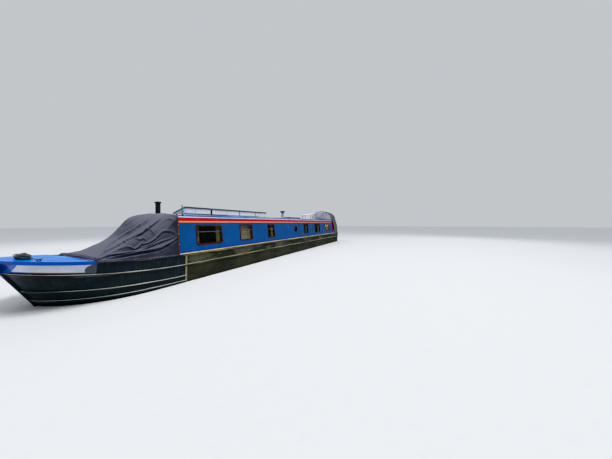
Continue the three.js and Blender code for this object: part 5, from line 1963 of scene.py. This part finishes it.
@dataclass
class CratchCover(ClothShell):
    """The canvas cover over the well deck, held up by its frame and buttoned down along the gunwale."""

    # Station, then middle, ridge and side as (y, z). The hem follows the deck's edge.
    rows: tuple = (
        (6.0704, (0.0, 2.222), (0.540, 2.206), (0.862, 2.156)),
        (6.285, (0.0, 2.208), (0.592, 2.085), (0.866, 1.900)),
        (6.585, (0.0, 2.150), (0.679, 1.915), (0.888, 1.640)),
        (6.738, (0.0, 2.068), (0.726, 1.828), (0.906, 1.555)),
        (6.885, (0.0, 1.885), (0.770, 1.750), (0.925, 1.492)),
        (7.039, (0.0, 1.690), (0.817, 1.665), (0.945, 1.435)),
        (7.205, (0.0, 1.572), (0.868, 1.577), (0.966, 1.402)),
        (7.555, (0.0, 1.425), (0.940, 1.376), (0.988, 1.330)),
        (7.752, (0.0, 1.350), (0.930, 1.318), (0.975, 1.306)),
    )
    # The starboard half sags further down beside the middle: its ridge's y and z, and its side's z.
    sag: tuple = (
        (0.540, 2.206, 2.156), (0.500, 2.120, 1.900), (0.420, 1.965, 1.620), (0.360, 1.800, 1.490),
        (0.320, 1.660, 1.420), (0.320, 1.540, 1.370), (0.340, 1.455, 1.310), (0.400, 1.322, 1.296),
        (0.450, 1.332, 1.306),
    )
    folds: tuple[Fold, ...] = (
        Fold(
            ((6.207, 0.14), (6.597, 0.59), (6.816, 0.64), (6.954, 0.56), (7.091, 0.49), (7.361, 0.58),
            (7.629, 0.80)), 0.020, 0.026,
        ),
        Fold(((6.241, 0.36), (6.601, 0.71), (6.965, 0.67), (7.113, 0.62)), 0.018, 0.022),
        Fold(
            ((6.228, 0.92), (6.444, 0.97), (6.639, 0.99), (6.903, 1.0), (7.122, 0.89), (7.308, 0.85),
            (7.536, 0.80), (7.70, 0.91)), 0.024, 0.034,
        ),
        Fold(
            ((6.10, 2.5), (6.245, 2.5), (6.401, 2.51), (6.594, 2.51), (6.816, 2.45), (7.059, 2.29),
            (7.304, 2.22), (7.553, 2.03)), 0.030, 0.046,
        ),
        Fold(
            ((6.16, 2.44), (6.33, 2.37), (6.5, 2.3), (6.68, 2.22), (6.86, 2.21), (7.03, 2.14)), 0.020, 0.024
        ),
        Fold(((6.55, 2.08), (6.69, 2.07), (6.81, 2.08), (6.94, 2.05)), 0.018, 0.020),
        Fold(
            ((6.18, 2.41), (6.26, 2.23), (6.37, 2.07), (6.47, 1.91), (6.57, 1.89), (6.67, 1.93),
            (6.79, 1.92), (6.92, 1.83)), 0.024, 0.032,
        ),
        Fold(((6.80, 1.01), (6.73, 1.01), (6.67, 1.17), (6.65, 1.41), (6.66, 1.60)), 0.024, 0.026, CREST),
        Fold(((7.02, 1.0), (6.96, 1.36), (6.88, 1.46), (6.84, 1.71)), 0.020, 0.022, CREST),
        Fold(((7.255, 1.19), (7.178, 1.6), (7.114, 1.87), (7.027, 1.83), (6.928, 1.7)), 0.020, 0.024, CREST),
        Fold(((7.466, 0.94), (7.352, 1.16), (7.244, 1.34)), 0.018, 0.020, CREST),
        Fold(((7.67, 0.97), (7.55, 0.95), (7.48, 1.0), (7.39, 1.2)), 0.016, 0.018, CREST),
        Fold(((7.69, 1.26), (7.57, 1.26), (7.41, 1.78), (7.24, 2.03), (7.05, 2.15)), 0.018, 0.026),
        Fold(((6.14, 2.08), (6.19, 1.58), (6.27, 1.3), (6.41, 1.27)), 0.028, 0.022, CREST),
        Fold(((6.25, 0.11), (6.53, 0.22), (6.74, 0.23), (6.87, 0.16)), 0.022, 0.016, CREST),
        Fold(((6.50, 0.44), (6.75, 0.51), (6.91, 0.41), (7.03, 0.27), (7.24, 0.32)), 0.018, 0.014, GROOVE),
    )
    across: tuple[int, ...] = (54, 40, 34)
    crowns: tuple[float, ...] = (0.016, 0.012, 0.014)
    along: int = 17
    hem_drop: float = 0.022
    rear_lean: float = 0.080
    webbing: float = 0.034
    front_rake: float = 0.24
    rake_x: Pair = (7.205, 7.752)
    # How high the brown edging reaches, how high the flap does, and the heights of its eyelets.
    edging_z: Pair = (2.03, 2.15)
    eyelet_z: Point = (1.45, 1.70, 1.93)
    front_high: float = 0.055
    front_proud: float = 0.0035

    def __post_init__(self) -> None:
        """Gives the starboard rows the port side's stations and half widths, and their own heights."""
        pairs = zip(self.rows, self.sag)
        self.starboard_rows = tuple(
            (x, top, (y, z), (wide, low)) for (x, top, _, (wide, _)), (y, z, low) in pairs
        )

    def rails(self, sections: Sequence[tuple]) -> list[np.ndarray]:
        """The middle, ridge and side lines, and the hem outside the deck's edge.

        Args:
            sections: the rows of one half.

        Returns:
            The lines' points.
        """
        back = self.front_rake if sections is self.starboard_rows else 0.0
        lines: list[list[Point]] = [[] for _ in sections[0]]
        for x, *places in sections:
            near = min(1.0, max(0.0, (x - self.rake_x[0]) / (self.rake_x[1] - self.rake_x[0])))
            for line, (y, z) in zip(lines, places):
                line.append((x - back * near * y, y, z))
            x -= back * near
            lines[-1].append((x, deck_half(x) + 0.0285, DECK_Z + SHEER_LIFT * rise(x) - self.hem_drop))
        # The rear edge leans forward towards its foot, to the end of the side deck.
        lines[-1][0] = (lines[-1][0][0] + self.rear_lean, *lines[-1][0][1:])
        return [spline(np.array(line), self.along) for line in lines]

    def bands(self, halves: Sequence[np.ndarray]) -> list[Piece]:
        """The webbing along the hem, the front band, the turn buttons, the batten and the rear edging.

        Args:
            halves: the port half and the starboard half.

        Returns:
            The pieces that are sewn to the cloth.
        """
        made = []
        button = [(0.0, -0.002), (0.009, -0.002), (0.009, 0.002), (0.005, 0.0045), (0.0, 0.005)]
        for (side, sign), half in zip(SIDES, halves):
            edge = half[:, -1]
            shape = Shape()
            top = edge + np.array([0, sign * 0.0015, self.webbing - 0.006])
            self.strip(shape, top, (0.0, 0.0, -1.0), np.array([0.0, sign, 0.0]), self.webbing, 0.0025)
            made.append(shape.piece("cratch_hem_" + side, [COVER_WEB], "cover_cloth", angle=50))
            shape = Shape()
            for spot in edge[8:-4:17]:
                place = facing(Vector(spot) + Vector((0, sign * 0.0035, 0.010)), (0, sign, 0))
                shape.turned(button, place, steps=16)
            shape.piece("turn_buttons_" + side, [FLUE_BLACK], "flue_black", angle=50)
        front = np.vstack([halves[0][-1][::-1], halves[1][-1][1:]])
        shape, batten = Shape(), Shape()
        rows, slats = [], []
        for p in front:
            deck = fore_deck_z(p[0], p[1]) + 0.003
            foot = min(deck, p[2] - 0.008) if abs(p[1]) < deck_half(p[0]) - 0.01 else p[2] - 0.012
            x, y, top = p[0], p[1], p[2] + 0.004
            ring = [(-0.011, top - 0.002), (0.001, top), (0.011, top - 0.006), (0.014, (top + foot) / 2)]
            rows.append([(x + out, y, z) for out, z in ring + [(0.013, foot), (0.002, foot)]])
            if abs(y) < deck_half(x + 0.03) - 0.03:
                base = fore_deck_z(x + 0.03, y)
                ring = [
                    (0.018, base - 0.002), (0.018, base + 0.007), (0.038, base + 0.007),
                    (0.038, base - 0.002),
                ]
                slats.append([(x + out, y, z) for out, z in ring])
        shape.grid(rows, ring=True, caps=True)
        made.append(shape.piece("cratch_front_hem", [COVER_HEM], "cover_cloth", angle=60))
        shape = Shape()
        for (_, sign), half in zip(SIDES, halves):
            self.front_band(shape, half, np.array([1.0, sign, 1.0]))
        made.append(shape.piece("cratch_front_band", [COVER_HEM], "cover_cloth", angle=50))
        batten.grid(slats, ring=True, caps=True)
        batten.piece("cover_batten", [TRIM_WOOD], "door_wood", bevel=0.0015)
        for (side, sign), half in zip(SIDES, halves):
            made.append(self.rear_edge(side, sign, half))
        return made

    def front_band(self, shape: Shape, half: np.ndarray, flip: np.ndarray) -> None:
        """Adds the doubled band that follows the cloth up from its front edge.

        Args:
            shape: what it is added to.
            half: that half of the cloth.
            flip: the factors that turn the half into a port one.
        """
        normal = self.outward(half * flip)[-1] * flip
        rows = []
        for j in range(half.shape[1]):
            line = half[::-1, j]
            run = np.concatenate([[0.0], np.cumsum(np.linalg.norm(np.diff(line, axis=0), axis=1))])
            ways = self.front_high * np.linspace(0, 1, 6)
            spots = list(np.stack([np.interp(ways, run, line[:, k]) for k in range(3)], axis=1))
            lift = normal[j] * self.front_proud
            ring = [spots[0] - lift / 3] + [spot + lift for spot in spots] + [spots[-1] - lift / 3]
            rows.append([tuple(point) for point in ring])
        shape.grid(rows, ring=True, caps=True)

    def rear_edge(self, side: str, sign: float, half: np.ndarray) -> Piece:
        """The brown edging of the cover's rear edge, its eyelets, and the flap that closes it to the cabin.

        Args:
            side: port or starboard.
            sign: 1 to port, -1 to starboard.
            half: that half of the cloth.

        Returns:
            The sewn piece.
        """
        edge = [p for p in half[0] if p[2] < self.edging_z[1] and abs(p[1]) > 0.80]
        shape = Shape()
        low = np.array([p for p in edge if p[2] < self.edging_z[0]]) - np.array([0.002, 0, 0])
        self.strip(shape, low, (1.0, 0.0, 0.0), np.array([0.0, sign, 0.0]), 0.042, 0.004)
        flap = []
        for x, y, z in edge:
            reach, inner = CABIN_FWD_X + 0.002, sign * (side_y(max(z, DECK_Z)) - 0.004)
            high = max(z, DECK_Z + 0.004)
            flap.append([(x + (reach - x) * t, y + (inner - y) * t, high) for t in (0.0, 0.33, 0.66, 1.0)])
        shape.grid(flap, finish=1)
        eyelet = [(0.0, 0.0), (0.011, 0.0), (0.011, 0.004), (0.007, 0.009), (0.0, 0.010)]
        for height in self.eyelet_z:
            x, y, z = min(edge, key=lambda p: abs(p[2] - height))
            shape.turned(eyelet, facing((x + 0.019, y + sign * 0.0035, z), (0, sign, 0)), finish=2, steps=20)
        return shape.piece(
            "cratch_edging_" + side, [COVER_EDGING, COVER, SASH_HIGHLIGHT_AND_EYELET_SILVER], "cover_cloth", angle=50
        )

    def build(self) -> None:
        halves = self.whole()
        cover = self.sew("cratch_cover_cloth", halves, COVER, "cover_cloth")
        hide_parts("cratch_cover")
        bands = self.bands(halves)


@dataclass
class SternHood(ClothShell):
    """The pram hood over the aft deck, on its two hoops."""

    # Station, then middle, crown, shoulder, hip, waist and foot as (y, z).
    rows: tuple = (
        (
            -6.600, (0.0, 2.250), (0.420, 2.240), (0.700, 2.224), (0.800, 2.208), (0.955, 1.750),
            (0.985, 1.228),
        ),
        (
            -6.690, (0.0, 2.550), (0.440, 2.520), (0.700, 2.420), (0.800, 2.210), (0.955, 1.750),
            (0.985, 1.228),
        ),
        (
            -6.790, (0.0, 2.838), (0.420, 2.780), (0.700, 2.560), (0.802, 2.215), (0.955, 1.750),
            (0.985, 1.228),
        ),
        (
            -7.400, (0.0, 2.852), (0.420, 2.795), (0.700, 2.560), (0.806, 2.215), (0.955, 1.750),
            (0.985, 1.228),
        ),
        (
            -7.960, (0.0, 2.810), (0.420, 2.755), (0.700, 2.540), (0.800, 2.200), (0.940, 1.750),
            (0.970, 1.228),
        ),
        (
            -8.080, (0.0, 2.703), (0.420, 2.660), (0.690, 2.470), (0.790, 2.150), (0.915, 1.720),
            (0.940, 1.228),
        ),
        (
            -8.260, (0.0, 1.310), (0.420, 1.302), (0.680, 1.290), (0.760, 1.278), (0.840, 1.264),
            (0.850, 1.240),
        ),
    )
    folds: tuple[Fold, ...] = (
        Fold(((-6.61, 0.30), (-6.68, 0.34), (-6.74, 0.30), (-6.79, 0.35)), 0.026, 0.030, CREST),
        Fold(((-6.61, 0.98), (-6.68, 1.04), (-6.75, 0.98), (-6.80, 0.95)), 0.040, 0.075, GROOVE),
        Fold(((-6.61, 1.60), (-6.69, 1.70), (-6.76, 1.65), (-6.80, 1.70)), 0.026, 0.035, GROOVE),
        Fold(((-7.95, 1.1), (-7.70, 2.1), (-7.55, 3.1), (-7.40, 3.9)), 0.034, 0.030),
        Fold(((-7.12, 1.4), (-7.30, 2.2), (-7.45, 3.0), (-7.70, 3.8)), 0.032, 0.026),
        Fold(((-7.10, 2.3), (-7.35, 3.1), (-7.75, 3.6), (-7.98, 4.3)), 0.030, 0.026),
        Fold(((-7.20, 4.2), (-7.50, 4.4), (-7.80, 4.2), (-8.00, 4.6)), 0.022, 0.014, CREST),
        Fold(((-7.15, 0.4), (-7.45, 0.55), (-7.75, 0.45), (-7.93, 0.5)), 0.034, 0.012, GROOVE),
        Fold(((-7.15, 0.95), (-7.45, 1.15), (-7.75, 1.0), (-7.93, 0.9)), 0.030, 0.014, GROOVE),
        Fold(((-8.09, 0.3), (-8.15, 0.4), (-8.20, 0.3), (-8.25, 0.35)), 0.026, 0.020, CREST),
        Fold(((-8.09, 0.9), (-8.15, 1.1), (-8.20, 1.0), (-8.25, 1.2)), 0.024, 0.020, CREST),
        Fold(((-8.06, 2.1), (-8.13, 2.6), (-8.19, 3.0), (-8.25, 3.4)), 0.026, 0.022),
    )
    across: tuple[int, ...] = (20, 18, 18, 24, 26)
    crowns: tuple[float, ...] = (0.006, 0.012, 0.012, 0.010, 0.006)
    along: int = 14
    round_off: int = 5
    wrinkle: float = 0.007
    wrinkle_size: Point = (0.30, 0.20, 0.20)
    roof_top: float = 2.2125
    lid_half: float = 0.386
    lid_top: float = 2.286
    band_x: tuple[float, ...] = (-6.80, -7.10, -7.94, -8.08)
    band_wide: float = 0.045

    def stays(self, centre: np.ndarray) -> bool:
        """Whether a face of the cloth is clear of the roof."""
        return not (centre[0] > CABIN_TOE_X - 0.013 and centre[2] < self.roof_top)

    def over_hatch(self, half: np.ndarray) -> None:
        """Draws the cloth's front edge up on to the hatch, as far as the hatch is wide.

        Args:
            half: a half's points, which it moves.
        """
        hoop = 2 * self.along
        for j in range(half.shape[1]):
            line = half[: hoop + 1, j].copy()
            if abs(line[0, 1]) > self.lid_half + 0.010:
                continue
            first = max(k for k in range(hoop) if line[k, 2] < self.lid_top)
            start = first + (self.lid_top - line[first, 2]) / (line[first + 1, 2] - line[first, 2])
            spots = np.linspace(start, hoop, hoop + 1)
            for k in range(3):
                half[: hoop + 1, j, k] = np.interp(spots, np.arange(hoop + 1), line[:, k])

    def hoop(self, shape: Shape, halves: Sequence[np.ndarray], station: float, wide: float) -> None:
        """Adds the doubled band that runs over the cloth at a hoop.

        Args:
            shape: what it is added to.
            halves: the port half and the starboard half.
            station: the hoop's station.
            wide: the band's width.
        """
        for (_, sign), half in zip(SIDES, halves):
            row = min(range(len(half)), key=lambda k: abs(half[k, 0, 0] - station))
            flip = np.array([1, sign, 1])
            outs = (self.outward(half * flip) * flip)[row]
            keep = [k for k, p in enumerate(half[row]) if self.stays(p - np.array([0.02, 0, 0]))]
            start = half[row][keep] + outs[keep] * 0.002 + np.array([wide / 2, 0, 0])
            self.strip(shape, start, (-1.0, 0.0, 0.0), outs[keep], wide, 0.003)

    def build(self) -> None:
        halves = self.whole()
        for half in halves:
            self.over_hatch(half)
        hood = self.sew("stern_hood_cloth", halves, HOOD_CANVAS, "hood_cloth")
        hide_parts("stern_hood")
        for number, station in enumerate(self.band_x):
            shape = Shape()
            self.hoop(shape, halves, station, self.band_wide)
            shape.piece(f"hood_band_{number + 1}", [HOOD_BAND], "hood_cloth", angle=50)


@dataclass
class SternGear:
    """Hood frame, tiller, the wooden cratch frame and the plaited fenders."""

    bow_centre: Point = (8.7152, 0.0, 1.2134)
    bow_lean: float = math.atan2(0.175, 0.300)
    bow_radius: float = 0.0725
    bow_long: float = 0.250
    stern_foot: Point = (-8.672, 0.0, 1.120)
    stern_profile: tuple = (
        (0.004, 0.0), (0.090, 0.0), (0.128, 0.024), (0.136, 0.070), (0.122, 0.124), (0.078, 0.160), (
            0.004, 0.1721
        ),
    )
    plait_in: float = 0.86

    def build(self) -> None:
        """Dresses the frames and the tiller."""
        dress_node("hood_frame", [TUBE_STEEL], angle=50)
        dress_node("cratch_frame", [TRIM_WOOD], bevel=0.003)
        dress_node("tiller", [BRASS], angle=50)
        self.bow_fender()
        self.stern_fender()

    def ropework(self, name: str, node: str, spine: Callable[[float], Pair], place: Matrix) -> None:
        """A fender of plaited rope over a round body.

        Args:
            name: the piece's name.
            node: the CAD node that it stands for.
            spine: gives the radius and the height at a share of its profile.
            place: where its axis stands.
        """
        rings, sides = 96, 120
        rows = []
        for i in range(rings + 1):
            share = i / rings
            radius, height = spine(share)
            row = []
            for k in range(sides):
                angle = math.tau * k / sides
                one = abs(math.sin(6 * angle + 11 * math.pi * share))
                two = abs(math.sin(6 * angle - 11 * math.pi * share))
                bulge = radius * (self.plait_in + (1 - self.plait_in) * max(one, two) ** 0.7)
                row.append(place @ Vector((bulge * math.cos(angle), bulge * math.sin(angle), height)))
            rows.append(row)
        shape = Shape()
        shape.grid(rows, ring=True, caps=True)
        piece = shape.piece(name, [FENDER_ROPE], "rope", angle=70)
        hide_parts(node)

    def bow_fender(self) -> None:
        """The long fender that hangs on the stem."""
        reach = self.bow_long / 2 + self.bow_radius

        def spine(share: float) -> Pair:
            """A capsule's outline."""
            height = -reach + 2 * reach * (1 - math.cos(math.pi * share)) / 2
            over = max(0.0, abs(height) - self.bow_long / 2)
            return max(0.004, math.sqrt(max(0.0, self.bow_radius**2 - over**2))), height

        axis = Vector((math.sin(self.bow_lean), 0.0, math.cos(self.bow_lean)))
        self.ropework("bow_fender_ropework", "bow_fender", spine, facing(self.bow_centre, axis))

    def stern_fender(self) -> None:
        """The round fender on the counter's end."""
        runs = [0.0]
        for (r0, h0), (r1, h1) in zip(self.stern_profile[:-1], self.stern_profile[1:]):
            runs.append(runs[-1] + math.hypot(r1 - r0, h1 - h0))

        def spine(share: float) -> Pair:
            """The bun's outline."""
            way = share * runs[-1]
            radius, height = (float(np.interp(way, runs, values)) for values in zip(*self.stern_profile))
            return max(0.004, radius), height

        self.ropework("stern_fender_ropework", "stern_fender", spine, facing(self.stern_foot, (-1, 0, 0)))


def main() -> None:
    """Builds the boat's looks in order."""
    logging.basicConfig(level=logging.INFO, format="%(name)s: %(message)s")
    for part in (
        Stage(), MooringRope(), Hull(), Cabin(), Windows(), Roof(), CratchCover(), SternHood(), SternGear()
    ):
        log.info("building %s", type(part).__name__)
        part.build()


if __name__ == "__main__":
    main()
